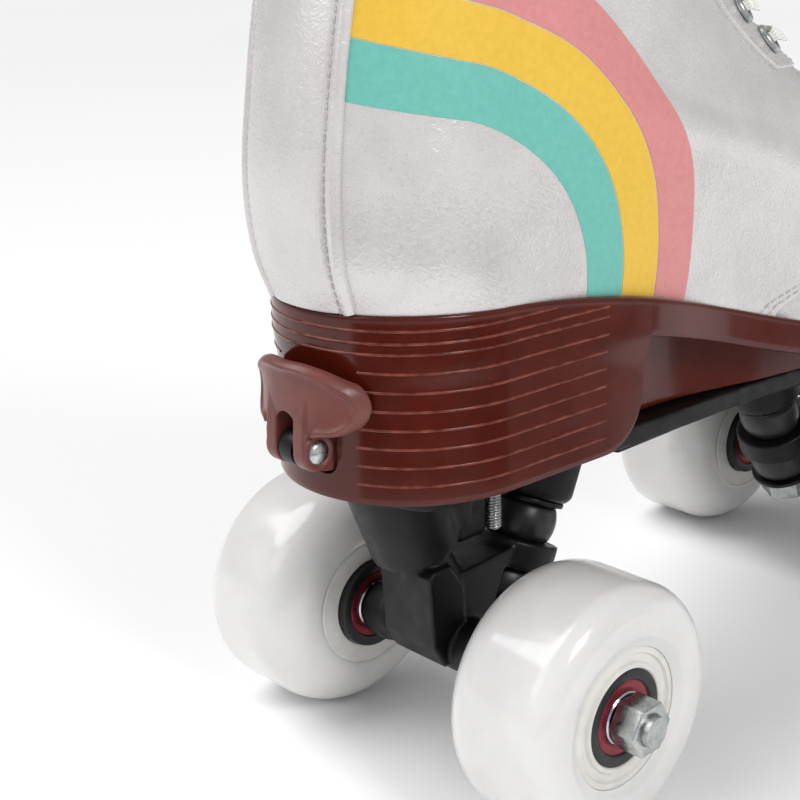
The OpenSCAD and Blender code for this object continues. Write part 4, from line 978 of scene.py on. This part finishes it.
def ear_solids():
    """Two ears with a cam that draws the clip, each with a raised ring round the pin."""
    cam, stroke, swing = EAR_R + 2, 6.0, 80
    slope = stroke / math.radians(swing)
    side = [(cam + stroke, 5.5)]
    for a in np.radians(np.linspace(0, -swing, 24)):
        h = cam + stroke * (1 + math.degrees(a) / swing)
        side.append((h * math.cos(a) - slope * math.sin(a), h * math.sin(a) + slope * math.cos(a)))
    side += [(EAR_R * math.cos(a), EAR_R * math.sin(a)) for a in np.radians(np.linspace(-105, -180, 16))]
    side += [(0.1 - EAR_R, 3), (0.5 - EAR_R, 7), (1.4 - EAR_R, 12), (2, 12)]
    ring = [(2.9, -1), (2.9, 0.25), (3.2, 0.45), (3.9, 0.4), (4.15, -0.1), (4.1, -1)]
    ring = [(r, EAR_OUT + h) for r, h in ring]
    parts = []
    for s in (-1, 1):
        pts = [(PIN_X + a, s * w, PIN_Z + b) for w in (EAR_IN, EAR_OUT) for a, b in side]
        parts.append(mesh_piece("ear", pts, tube_faces(2, len(side)), lever_satin))
        parts.append(turned("ring", [ring_lathe(ring, (PIN_X, 0, PIN_Z), (0, s, 0), 48)], lever_satin))
    return parts


def make_lever():
    lever = merged("moulded_lever", [pad_solid()] + ear_solids())
    melt_edges(lever, 0.24, 6, lever_satin, 80)
    place(lever, "lever", "lever_plastic", "clip_lever")

    dome = [(0.0, 1.15), (0.8, 1.1), (1.5, 0.95), (2.1, 0.66), (2.5, 0.34), (2.6, 0.05), (1.58, 0.05)]
    profile = [(r, EAR_OUT + h) for r, h in dome] + [(1.58, 0.0), (0.0, 0.0)]
    heads = [lathe(profile, (PIN_X, 0, PIN_Z), (0, s, 0), 40) for s in (-1, 1)]
    place(turned("riveted_pin", heads, zinc, 50), "lever", "zinc_steel", "lever_pin")


# UPPER

def edge_steps(n, length, edge):
    """Even steps from 0 to 1 with a rounded edge, in mm, at both ends, and how far the edge drops there."""
    bend = np.array([0, 0.13, 0.4, 0.75, 1.0])
    drop = edge * (1 - np.sqrt(np.maximum(0, 1 - (1 - bend) ** 2)))
    ends = bend * min(edge / length, 0.3)
    t = np.concatenate([ends, np.linspace(ends[-1], 1 - ends[-1], n)[1:-1], 1 - ends[::-1]])
    falls = np.zeros(len(t))
    falls[:5], falls[-5:] = drop, drop[::-1]
    return t, falls


def panel(name, where, size, counts, inner, outer, material, edge=0.4, extra=None):
    """Sheet on the upper: where(s, t) gives share and level, size is its rough width and height in mm."""
    s, ds = edge_steps(counts[0], size[0], edge)
    t, dt = edge_steps(counts[1], size[1], edge)
    s, t = np.meshgrid(s, t)
    share, level = where(s, t)
    more = extra(s, t) if extra else np.zeros(s.shape)
    drop = np.minimum(ds[None] + dt[:, None], 0.9 * (outer - inner))
    pts = np.concatenate([lift(share, level, outer - drop + more).reshape(-1, 3),
                          lift(share, level, inner + more).reshape(-1, 3)])
    uv = np.stack([s * size[0], t * size[1]], -1).reshape(-1, 2)
    return mesh_piece(name, pts, sheet_faces(*s.shape), material, 70, uv=np.concatenate([uv, uv]))


SKIRT = -0.012  # the panels go this far below the sole's top edge
TUCK = 0.014    # and the vamp this far under the quarters


def quarter_at(side):
    def where(s, t):
        f = mix(SKIRT, 1, t)
        share = side * mix(0.003, front_seam(EDGE_V * np.maximum(0, f)), s)
        return share, level_at(share, f)
    return where


def vamp_half(t):
    return 1 - front_seam(np.maximum(0, mix(SKIRT, THROAT_V, t)))


def vamp_at(s, t):
    return 1 + (vamp_half(t) + TUCK) * (2 * s - 1), mix(SKIRT, THROAT_V, t)


def vamp_tuck(s, t):
    from_edge = (1 - np.abs(2 * s - 1)) * (vamp_half(t) + TUCK)
    return -1.95 * (1 - ease((from_edge - TUCK + 0.002) / 0.009))


STRIP_SEAM = 0.0172  # the back strip's stitches run this share of the outline inside its edge


def strip_at(s, t):
    share = strip_half(t) * (2 * s - 1)
    return share, level_at(share, t)


def strip_form(s, t):
    """The strip's edge is a soft bead held down by the line of stitches."""
    inside = strip_half(t) * (1 - np.abs(2 * s - 1)) / STRIP_SEAM
    bead = np.cos(np.pi / 2 * np.clip((inside - 0.52) / 0.48, -1, 1)) ** 2
    return 0.55 * bead - 0.45 * np.exp(-((inside - 1) / 0.13) ** 2) + 0.1 * ease((inside - 1) / 1.2)


STRIPE_W = 10.7
STRIPE_FIRST = 48.4
STRIPE_X, STRIPE_Z = -32.6, DECK + 31.8
STRIPE_TURN = 72.0
ARC = 0.76  # share of a stripe's length that is a plain arc


def stripe_at(k, side):
    """A stripe rises from the sole in an arc and runs under the back strip."""
    def where(s, t):
        r = STRIPE_FIRST + STRIPE_W * k + mix(0.1 if k else 0.0, STRIPE_W - 0.1, t)
        start = mix(4, -4, (r - STRIPE_FIRST) / (3 * STRIPE_W))
        a = np.radians(mix(start, STRIPE_TURN, clamp01(s / ARC)))
        u, v = place_at(STRIPE_X + r * np.cos(a), STRIPE_Z + r * np.sin(a), side)
        a = np.radians(STRIPE_TURN)
        lu, lv = place_at(STRIPE_X + r * np.cos(a), STRIPE_Z + r * np.sin(a), side)
        on = clamp01((s - ARC) / (1 - ARC))
        bent = s <= ARC
        return np.where(bent, u, mix(lu, side * strip_half(1) * 0.96, on)), np.where(bent, v, lv + 0.03 * on)
    return where


def stay_at(side):
    def where(s, t):
        f = mix(THROAT_V, 0.995, t)
        share = side * mix(EYE_SHARE - 0.085, front_seam(f * EDGE_V) - 0.003, s)
        return share, level_at(share, f)
    return where


def lining_at(s, t):
    f = mix(0.1, 1, t)
    share = (front_seam(f * EDGE_V) - 0.006) * (2 * s - 1)
    return share, level_at(share, f)


TONGUE_V = (0.55, 1.09)  # levels of its lower and upper edge
TONGUE_HALF = 0.17


def tongue_at(s, t):
    return 1 + TONGUE_HALF * (2 * s - 1), mix(*TONGUE_V, t)


def tongue_form(s, t):
    """How far the tongue lies in: it dips under the lace and passes behind the collar."""
    v = mix(*TONGUE_V, t)
    dip = np.maximum(0, 0.1375 * prof(FRONT_CAP, v) - UPPER_T - LINING_T - LAYER_GAP - 0.2)
    dip = dip * np.cos(np.pi / 2 * (2 * s - 1)) ** 2 * ease((v - 0.54) / 0.06)
    return -dip - 2 * ease((v - 0.86) / 0.06)


def stitched(name, lines, pitch=2.3, stitch=(0.92, 0.3, 0.28)):
    """Rows of stitches: each line is (shares, levels, height over the face), sizes in mm."""
    paths = [lift(u, v, np.full(len(u), h)) for u, v, h in lines]
    outs = [out_of(u, v) for u, v, h in lines]
    sizes = {"Pitch": pitch * 0.001, "Stitch": [c * 0.001 for c in stitch]}
    return place(grow(name, sewing_tree(thread), paths, sizes, out=outs), "boot", "upper_leather")


def make_upper():
    place(panel("vamp_leather", vamp_at, (260, 90), (150, 70), -UPPER_T, 0.0, pearl, 0.4, vamp_tuck),
          "boot", "upper_leather", "vamp")
    for side, node in ((-1, "quarter_outer"), (1, "quarter_inner")):
        place(panel(node + "_leather", quarter_at(side), (140, 112), (120, 84), -UPPER_T, 0.0, pearl, 0.5),
              "boot", "upper_leather", node)
    place(panel("back_strip_leather", strip_at, (27, 112), (110, 110), 0.0, 1.0, pearl, 0.8, strip_form),
          "boot", "upper_leather", "back_strip")
    for k, (colour, film) in enumerate((("teal", film_teal), ("yellow", film_yellow), ("pink", film_pink))):
        sides = [panel("side", stripe_at(k, side), (110, STRIPE_W), (150, 14), 0.0, 0.14, film, 0.12)
                 for side in (-1, 1)]
        place(merged("stripe_film_" + colour, sides), "boot", "stripe_" + colour, "stripe_" + colour)
    stays = [panel("stay", stay_at(side), (13, 60), (16, 70), 0.0, 1.05, pearl, 0.6) for side in (-1, 1)]
    place(merged("eyestay_leather", stays), "boot", "upper_leather", "eyestays")
    face = -UPPER_T - LAYER_GAP
    place(panel("lining_cloth", lining_at, (300, 105), (170, 60), face - LINING_T, face, lining_cloth, 0.6),
          "boot", "lining_fabric", "lining")

    t = np.linspace(0.012, 0.985, 160)
    lines = []
    for side in (-1, 1):
        u = side * (strip_half(t) - STRIP_SEAM)
        lines.append((u, level_at(u, t), 0.66))
    stitched("back_strip_stitches", lines, 1.95, (0.72, 0.34, 0.3))
    lines = []
    for side in (-1, 1):
        for gap in (0.006, 0.012):
            f = np.linspace(0.0, THROAT_V, 120)
            u = side * (front_seam(EDGE_V * f) - gap)
            lines.append((u, level_at(u, f), 0.02))
        f = np.linspace(THROAT_V + 0.01, 0.985, 90)
        for u in (EYE_SHARE - 0.078, EYE_SHARE - 0.011):
            u = side * u * np.ones_like(f)
            lines.append((u, level_at(u, f), 1.02))
        u = side * np.linspace(0.07, EYE_SHARE - 0.09, 150)
        lines.append((u, level_at(u, 0.972 * np.ones_like(u)), 0.02))
    stitched("upper_stitches", lines)


def make_tongue():
    """Padded tongue with sewn channels along it."""
    s, ds = edge_steps(60, 46, 1.9)
    t, dt = edge_steps(110, 92, 1.9)
    s, t = np.meshgrid(s, t)
    share, level = tongue_at(s, t)
    deep = tongue_form(s, t)
    channels = 1 - np.abs(np.sin(np.pi * 4 * s)) ** 0.5
    quilt = 0.75 * channels * ease((t - 0.06) / 0.08) * ease((0.95 - t) / 0.05)
    drop = np.minimum(ds[None] + dt[:, None], 1.9)
    hi, lo = -UPPER_T - LINING_T - LAYER_GAP - 0.75, -UPPER_T - LINING_T - LAYER_GAP - 4.5
    top = lift(share, level, hi - drop - quilt + deep)
    low = lift(share, level, lo + np.minimum(drop, 1.6) + deep)
    pts = np.concatenate([top.reshape(-1, 3), low.reshape(-1, 3)])
    tongue = mesh_piece("padded_tongue", pts, sheet_faces(*s.shape), pearl, 80)
    place(tongue, "boot", "upper_leather", "tongue")


def make_collar():
    """Padded roll round the top, gathered a little along its lower side."""
    n, m = 420, 28
    u = (EYE_SHARE - 0.013) * np.linspace(-1, 1, n)
    one = np.ones_like(u)
    p, o = face_at(u, one), out_of(u, one)
    along = unit(face_at(u + FACE_STEP, one) - face_at(u - FACE_STEP, one))
    up = unit(np.cross(along, o))
    walk = walked(p)
    end = np.sqrt(np.maximum(0.0, 1 - (1 - clamp01(np.minimum(walk, walk[-1] - walk) / 4.5)) ** 2))
    pucker = 0.5 + 0.5 * np.cos(2 * np.pi * walk / 9.5 + 0.8 * np.sin(walk / 17))
    a = np.linspace(0, 2 * np.pi, m, endpoint=False)
    low_side = clamp01(-np.sin(a))[None] ** 2
    swell = 1 - 0.1 * pucker[:, None] * (0.25 + 0.75 * low_side)
    size = np.maximum(end, 0.04)[:, None] * swell
    pts = ((p - 2.5 * o)[:, None] + (3.95 * size * np.cos(a))[..., None] * o[:, None]
           + (4.95 * size * np.sin(a))[..., None] * up[:, None])
    collar = mesh_piece("padded_collar", pts.reshape(-1, 3), tube_faces(n, m), pearl, 80)
    place(collar, "boot", "upper_leather", "collar_pad")


def make_footbed():
    """Cupped footbed inside the boot."""
    share = np.concatenate([[0.012, 0.03], np.linspace(0.06, 0.94, 120), [0.97, 0.988]])
    q = np.concatenate([[-1, -0.985, -0.95], np.linspace(-0.9, 0.9, 34), [0.95, 0.985, 1]])
    x, y = sole_xy(share, UPPER_T + LINING_T + 2.3)
    half = (y - mid_y(x))[:, None]
    q2 = np.abs(q)[None]
    yy = mid_y(x)[:, None] + half * q[None]
    xx = np.repeat(x[:, None], len(q), 1)
    cup = 1.1 * ease((30 - xx) / 50) * q2**2
    ends = clamp01((0.03 - np.minimum(share, 1 - share)[:, None]) / 0.03)
    edge = np.maximum(clamp01((q2 - 0.9) / 0.1), ends) ** 2
    zz = feather(xx) + 4.6 + cup - 1.9 * edge
    top = np.stack([xx, yy, zz], -1)
    low = np.stack([xx, yy, feather(xx) + 2.6], -1)
    pts = np.concatenate([top.reshape(-1, 3), low.reshape(-1, 3)])
    uv = np.stack([xx, yy], -1).reshape(-1, 2)
    bed = mesh_piece("padded_footbed", pts, sheet_faces(*zz.shape), bed_cloth, 60,
                     uv=np.concatenate([uv, uv]))
    place(bed, "boot", "lining_fabric", "footbed")


# LACING

def lace_level(k):
    return mix(THROAT_V + 0.03, TOP_V - 0.035, k / (EYELET_ROWS - 1))


EYE_U = EYE_SHARE - 0.034
LACE_UP = LAYER_GAP + OVERLAY_T + 1.1 + 1.15


def lace_mid(k, t):
    """Middle line of one lace run from eyelet to eyelet."""
    v = np.array(lace_level(k))
    spots = [lift(np.array(u), v, LACE_UP) for u in (EYE_U, EYE_SHARE + 0.004, -EYE_SHARE - 0.004, -EYE_U)]
    mid = (spots[1] + spots[2]) / 2 + 1.2 * out_of(np.array(1.0), v)
    stops = [spots[0], spots[1], mid, spots[2], spots[3]]
    return np.stack([curve([0, 0.2, 0.5, 0.8, 1], [p[c] for p in stops], t) for c in range(3)], -1)


def eyelet_tree(material):
    """Puts a rolled metal ring on each point."""
    tree, given = node_tree("rolled_eyelets", [("Radius", "NodeSocketFloat", 0.0031),
                                               ("Roll", "NodeSocketFloat", 0.0008)])
    hoop = add(tree, "GeometryNodeCurvePrimitiveCircle", {"Resolution": 36, "Radius": given["Radius"]})
    roll = add(tree, "GeometryNodeCurvePrimitiveCircle", {"Resolution": 14, "Radius": given["Roll"]})
    ring = add(tree, "GeometryNodeCurveToMesh",
               {"Curve": hoop.outputs["Curve"], "Profile Curve": roll.outputs["Curve"]}).outputs["Mesh"]
    out = add(tree, "GeometryNodeInputNamedAttribute", {"Name": "out"}, data_type="FLOAT_VECTOR")
    turn = add(tree, "FunctionNodeAlignRotationToVector", {"Vector": out.outputs["Attribute"]}, axis="Z")
    spots = add(tree, "GeometryNodeMeshToPoints", {"Mesh": given["Geometry"]})
    laid = add(tree, "GeometryNodeInstanceOnPoints",
               {"Points": spots.outputs["Points"], "Instance": ring, "Rotation": turn.outputs["Rotation"]})
    return finish_tree(tree, laid.outputs["Instances"], material)


def make_lacing():
    spots = [(side * EYE_U, lace_level(k)) for side in (-1, 1) for k in range(EYELET_ROWS)]
    u, v = (np.array(c) for c in zip(*spots))
    rings = grow("rolled_eyelets", eyelet_tree(zinc), [[p] for p in lift(u, v, np.full(len(u), 1.75))],
                 out=[[o] for o in out_of(u, v)])
    place(rings, "boot", "zinc_steel", "eyelets")

    pts, faces, uv = [], [], []
    m = 20
    a = np.linspace(0, 2 * np.pi, m, endpoint=False)
    wide = np.sign(np.cos(a)) * np.abs(np.cos(a)) ** 0.8
    thick = np.sign(np.sin(a)) * np.abs(np.sin(a)) ** 0.8
    for k in range(EYELET_ROWS):
        t = np.linspace(0, 1, 61)
        c = lace_mid(k, t)
        d = unit(np.gradient(c, axis=0))
        share = 1 + (1 - EYE_U) * (2 * t - 1)
        o = out_of(share, np.full_like(t, lace_level(k)))
        b = unit(np.cross(d, o))
        q = unit(np.cross(b, d))
        w = mix(1.5, 3.0, ease(4.8 * np.minimum(t, 1 - t)))
        down = np.array([2.6, 1.5, 0.5])[:, None]
        # three more rings at each end go down into the eyelet
        q = np.concatenate([[-unit(c[1] - c[0])] * 3, q, [unit(c[-1] - c[-2])] * 3])
        b = np.concatenate([[b[0]] * 3, b, [b[-1]] * 3])
        c = np.concatenate([c[0] - down * o[0], c, c[-1] - down[::-1] * o[-1]])
        w = np.concatenate([[1.3] * 3, w, [1.3] * 3])
        walk = walked(c)
        ring = (c[:, None] + (w[:, None] * wide)[..., None] * b[:, None]
                + (0.66 * thick)[None, :, None] * q[:, None])
        base, n = len(pts), len(c)
        pts += ring.reshape(-1, 3).tolist()
        faces += tube_faces(n, m, base)
        uv += np.stack([np.repeat(walk[:, None], m, 1), w[:, None] * wide], -1).reshape(-1, 2).tolist()
    place(mesh_piece("woven_lace", pts, faces, lace_cloth, 50, uv=np.array(uv)),
          "boot", "lace_cotton", "lace")


# WHEELS

WHEEL_R, WHEEL_H = 29.0, 15.5
EDGE_IN, EDGE_OUT = 11.5, 6.0
TRACK, WHEELBASE = 81.0, 160.0
BEAR_IN, BEAR_OUT, BEAR_W = -WHEEL_H - 2, WHEEL_H - 1.2, 7.0
# profiles as (radius, depth from the outer face)
CORE_FACE = ((15.98, 0.3), (15.6, 0.05), (14.6, 0.05), (14.2, 0.7), (12.6, 0.7), (12.2, 0.05), (11.3, 0.05),
             (11.02, 0.35), (11.02, BEAR_W + 0.1), (8.9, BEAR_W + 0.1))
BEARING = (
    ("ring", shield_black, ((8.4, 0.55), (8.7, 0.2), (10.6, 0.0), (11.0, 0.25),
                            (11.0, 6.75), (10.6, 7.0), (8.7, 6.8), (8.4, 6.45))),
    ("shield", shield_red, ((6.0, 0.75), (6.3, 0.5), (7.2, 0.42), (8.2, 0.5), (8.4, 0.6),
                            (8.4, 6.4), (8.2, 6.5), (6.3, 6.5))),
    ("race", ground, ((3.6, 0.3), (3.85, 0.05), (5.7, 0.05), (6.0, 0.35),
                      (6.0, 6.65), (5.7, 6.95), (3.85, 6.95), (3.6, 6.7))))


def arc(cr, ca, r, a0, a1, n):
    """Points (radius, along) of an arc."""
    return [(cr + r * math.cos(a), ca + r * math.sin(a)) for a in np.radians(np.linspace(a0, a1, n))]


def make_wheel(code, x, side):
    """A cast tyre on its core, with two shielded bearings; along is outwards from the skate's middle."""
    hub, out, body = (x, side * TRACK / 2, AXLE_Z), (0, side, 0), "wheel_" + code
    r, h = WHEEL_R, WHEEL_H
    tyre = [(16.02, -h + 0.3), (16.3, -h + 0.05)] + arc(r - EDGE_IN, -h + EDGE_IN, EDGE_IN, -90, 0, 26)
    tyre += arc(r - EDGE_OUT, h - EDGE_OUT, EDGE_OUT, 0, 90, 18)
    tyre += [(19.0, h), (18.2, h - 0.25), (17.4, h - 0.75), (16.02, BEAR_OUT)]
    place(turned("cast_tyre_" + code, [ring_lathe(tyre, hub, out, 128)], urethane, 40),
          body, "wheel_urethane", "tyre_" + code)
    core = [(8.9, BEAR_IN + BEAR_W + 0.1), (11.02, BEAR_IN + BEAR_W + 0.1)]
    core += [(q, -h + w) for q, w in ((11.02, 0.35), (11.4, 0.02), (15.7, 0.02), (15.98, 0.3))]
    core += [(q, BEAR_OUT - w) for q, w in CORE_FACE]
    place(turned("moulded_core_" + code, [ring_lathe(core, hub, out, 96)], core_white, 40),
          body, "core_nylon", "core_" + code)
    parts = []
    for name, finish, profile in BEARING:
        pair = [ring_lathe([(q, a + b * w) for q, w in profile], hub, out, 72)
                for a, b in ((BEAR_IN, 1), (BEAR_OUT, -1))]
        parts.append(turned(name, pair, finish, 40))
    place(merged("shielded_bearings_" + code, parts), body, "bearing_steel", "bearings_" + code)


# TRUCKS, CHASSIS AND CLIP

def helix(centre, axis, side, r, pitch, length, steps=28):
    """Points of a screw line of a given radius and pitch."""
    axis, side = np.array(axis, float), np.array(side, float)
    third = np.cross(axis, side)
    a = np.linspace(0, 2 * np.pi * length / pitch, int(steps * length / pitch))
    return (np.array(centre) + (a * pitch / (2 * np.pi))[:, None] * axis
            + r * (np.cos(a)[:, None] * side + np.sin(a)[:, None] * third))


def on_truck(front, x, z):
    return np.array([WHEELBASE - x if front else x, 0.0, z])


KINGPIN = math.radians(24)
CUSHION_R, CUSHION_BORE = 8.5, 4.3
CUSHION_ENDS = ((-12.6, -3.5), (3.5, 12.6))  # along the kingpin, from the hanger's ring


def kingpin(front):
    """The kingpin's place on the hanger's ring, and its direction."""
    return on_truck(front, 24, AXLE_Z + 14), ((-1 if front else 1) * math.sin(KINGPIN), 0, math.cos(KINGPIN))


def make_trucks():
    for front, name in ((False, "rear"), (True, "front")):
        body = name + "_truck"
        moulded(name + "_hanger", 0.45, 5, nylon, body, "chassis_plastic")
        machined(name + "_axle", 0.4, zinc, body, "zinc_steel")
        machined(name + "_axle_nuts", 0.35, zinc, body, "zinc_steel")
        spot, axis = kingpin(front)
        pads = []
        for a, b in CUSHION_ENDS:
            mid, r, bore = (a + b) / 2, CUSHION_R, CUSHION_BORE
            loop = [(bore, a + 0.3), (bore + 0.3, a), (r - 1.5, a), (r - 1.1, a + 0.3)]
            loop += [(r - 1.1 * ((w - mid) / (b - mid)) ** 2, w) for w in np.linspace(a + 0.9, b - 0.9, 12)]
            loop += [(r - 1.1, b - 0.3), (r - 1.5, b), (bore + 0.3, b), (bore, b - 0.3)]
            pads.append(ring_lathe(loop, spot, axis, 64))
        place(turned(name + "_cushion_pair", pads, pad_urethane, 40),
              "chassis", "cushion_urethane", name + "_cushions")


BOLT_X, BOLT_Y, BOLT_LOW = 9.5, 7.5, UNDER - 15.5
THREAD_R, THREAD_PITCH = 1.68, 0.7
STOP_X, STOP_LEAN, STOP_DROP = WHEELBASE + 27, math.radians(27), 43
# profile of the toe stop as (radius, height over its foot)
STOP = [(0, 0), (12.6, 0.0), (13.4, 0.12), (15.0, 0.75), (16.1, 1.7), (16.75, 3.0), (17.0, 4.2), (16.6, 6.2),
        (16.1, 8.6), (15.3, 12.5), (14.2, 17.8), (13.7, 19.0), (12.9, 19.8), (12.3, 20.0), (8.6, 20.0),
        (8.1, 19.6), (8.1, 12), (0, 12)]


def make_chassis():
    moulded("chassis_plate", 0.75, 3, nylon, "chassis", "chassis_plastic")
    machined("pivot_cups", 0.3, pad_urethane, "chassis", "cushion_urethane")
    for node in ("kingpins", "kingpin_nuts", "cushion_washers", "catch_post", "catch_nuts", "toe_stop_stem",
                 "toe_stop_nut"):
        finish = dark_steel if node == "cushion_washers" else zinc
        machined(node, 0.3, finish, "chassis", "zinc_steel")

    low = BOLT_LOW
    head = [(1.72, 2.6), (3.1, 2.6), (3.3, 2.8), (3.3, 4.7), (3.0, 5.0), (0, 5.0)]
    profile = [(0, low), (1.3, low), (1.72, low + 0.5)] + [(r, DECK + h) for r, h in head]
    cores, threads = [], []
    for y in (-BOLT_Y, BOLT_Y):
        cores.append(lathe(profile, (BOLT_X, y, 0), (0, 0, 1), 40))
        threads.append(helix((BOLT_X, y, low + 0.35), (0, 0, 1), (1, 0, 0), THREAD_R, THREAD_PITCH,
                             DECK - low - 1))
    screw = grow("threads", rib_tree(zinc), threads, {"Radius": 0.00029},
                 taper=[np.ones(len(p)) for p in threads])
    place(merged("threaded_catch_bolts", [turned("shanks", cores, zinc, 40), screw]),
          "chassis", "zinc_steel", "catch_bolts")

    stop = lathe([(r, a - STOP_DROP) for r, a in STOP], (STOP_X, 0, UNDER),
                 (-math.sin(STOP_LEAN), 0, math.cos(STOP_LEAN)), 96)
    place(turned("moulded_toe_stop", [stop], stop_rubber, 40), "chassis", "stop_rubber", "toe_stop")


SPRING_ROOM, SPRING_WIRE, SPRING_R, SPRING_TURNS = 9.6, 1.1, 4, 5


def make_clip():
    machined("latch_guide", 0.4, nylon, "boot", "guide_plastic")
    machined("guide_screws", 0.25, zinc, "boot", "zinc_steel")
    machined("hook_bar", 0.4, zinc, "boot", "zinc_steel")
    machined("draw_frame", 0.4, nylon, "draw_bar", "guide_plastic")
    length = SPRING_ROOM - SPRING_WIRE - 0.2
    coil = helix((PIN_X + 20, 0, PIN_Z), (1, 0, 0), (0, 1, 0), SPRING_R, length / SPRING_TURNS, length, 60)
    place(grow("coiled_spring", rib_tree(ground), [coil], {"Radius": 0.00055}, taper=[np.ones(len(coil))]),
          "boot", "spring_steel", "release_spring")
    paint(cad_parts["insole_board"], fibre)


# CAMERA, LIGHT AND FLOOR

FLOOR_R, FLOOR_DROP = 40000.0, 0.05
CAMERA_TURN = (-42.41, 18.71, -1.75)  # yaw, pitch and roll in degrees
CAMERA_AT = (-0.3072, -0.22616, 0.19406)
CAMERA_LENS = 66.69
SKY_POWER, WALL_POWER = 0.46, 0.97    # the studio as it lights the skate, and as the camera sees it
AIM = (-0.05, 0, 0.12)
CARD_MID, CARD_R, CARD_Z = (-30, -20), (215, 560), 3.0
CARDS = (("black_card", shield_black, 178, 300), ("dark_card", stop_rubber, 300, 310),
         ("grey_card", card_grey, 310, 322))  # each between two bearings in degrees


def set_camera():
    yaw, pitch, roll = (math.radians(a) for a in CAMERA_TURN)
    back = np.array([math.sin(yaw) * math.cos(pitch), -math.cos(yaw) * math.cos(pitch), math.sin(pitch)])
    right = np.array([math.cos(yaw), math.sin(yaw), 0.0])
    up = np.cross(right, -back)
    right, up = (math.cos(roll) * right + math.sin(roll) * up, math.cos(roll) * up - math.sin(roll) * right)
    cam = bpy.data.cameras.new("camera")
    cam.sensor_width = 36
    cam.lens = CAMERA_LENS
    cam.clip_start = 0.01
    eye = linked("camera", cam)
    pose = Matrix.Identity(4)
    for i in range(3):
        pose[i][0], pose[i][1], pose[i][2] = right[i], up[i], back[i]
    pose.translation = Vector(CAMERA_AT)
    eye.matrix_world = pose
    bpy.context.scene.camera = eye


def lamp(name, data, way):
    """Light that shines one way; an area light is moved to its place afterwards."""
    obj = linked(name, data)
    obj.rotation_euler = Vector(way).to_track_quat("-Z", "Y").to_euler()
    return obj


def soft_box(name, spot, size, power):
    data = bpy.data.lights.new(name, "AREA")
    data.shape = "RECTANGLE"
    data.size, data.size_y = size, size
    data.energy = power
    lamp(name, data, Vector(AIM) - Vector(spot)).location = spot


def set_light():
    bpy.context.scene.view_settings.view_transform = "Standard"
    world = bpy.data.worlds.new("studio")
    bpy.context.scene.world = world
    world.use_nodes = True
    tree = world.node_tree
    tree.nodes.clear()
    sky, wall = (add(tree, "ShaderNodeBackground", {"Color": (0.99, 0.99, 1.0, 1), "Strength": power})
                 for power in (SKY_POWER, WALL_POWER))
    seen = add(tree, "ShaderNodeMixShader", {0: add(tree, "ShaderNodeLightPath").outputs["Is Camera Ray"],
                                             1: sky.outputs["Background"], 2: wall.outputs["Background"]})
    add(tree, "ShaderNodeOutputWorld", {"Surface": seen.outputs["Shader"]})

    soft_box("soft_box_left", (-1.0, 0.15, 0.7), 0.6, 1.6)
    soft_box("soft_box_right", (-0.15, -0.9, 0.75), 0.35, 5)
    sun = bpy.data.lights.new("high_soft_light", "SUN")
    sun.angle = math.radians(45)
    sun.energy = 1.75
    lamp("high_soft_light", sun, (0.3, -0.42, -0.85))


def set_floor():
    # dark cards on the floor round the camera's side, out of the picture: the polished heel mirrors them
    n = 24
    for name, finish, a0, a1 in CARDS:
        turn = np.radians(np.linspace(a0, a1, n))
        arcs = [np.stack([CARD_MID[0] + r * np.cos(turn), CARD_MID[1] + r * np.sin(turn),
                          np.full(n, CARD_Z)], -1) for r in CARD_R]
        card = mesh_piece(name, np.concatenate(arcs), grid_faces(2, n), finish, closed=False)
        card.visible_camera = card.visible_diffuse = card.visible_shadow = False

    n = 96
    t = np.linspace(0, 2 * np.pi, n, endpoint=False)
    disc = np.stack([FRAME_X + FLOOR_R * np.cos(t), FLOOR_R * np.sin(t), 0 * t - FLOOR_DROP], -1)
    mesh_piece("floor", disc, [list(range(n))], floor_pale, closed=False)


set_camera()
set_light()
set_floor()
make_sole()
make_lever()
make_upper()
make_tongue()
make_collar()
make_footbed()
make_lacing()
make_trucks()
make_chassis()
make_clip()
for code, x, side in (("ro", 0, -1), ("ri", 0, 1), ("fo", WHEELBASE, -1), ("fi", WHEELBASE, 1)):
    make_wheel(code, x, side)
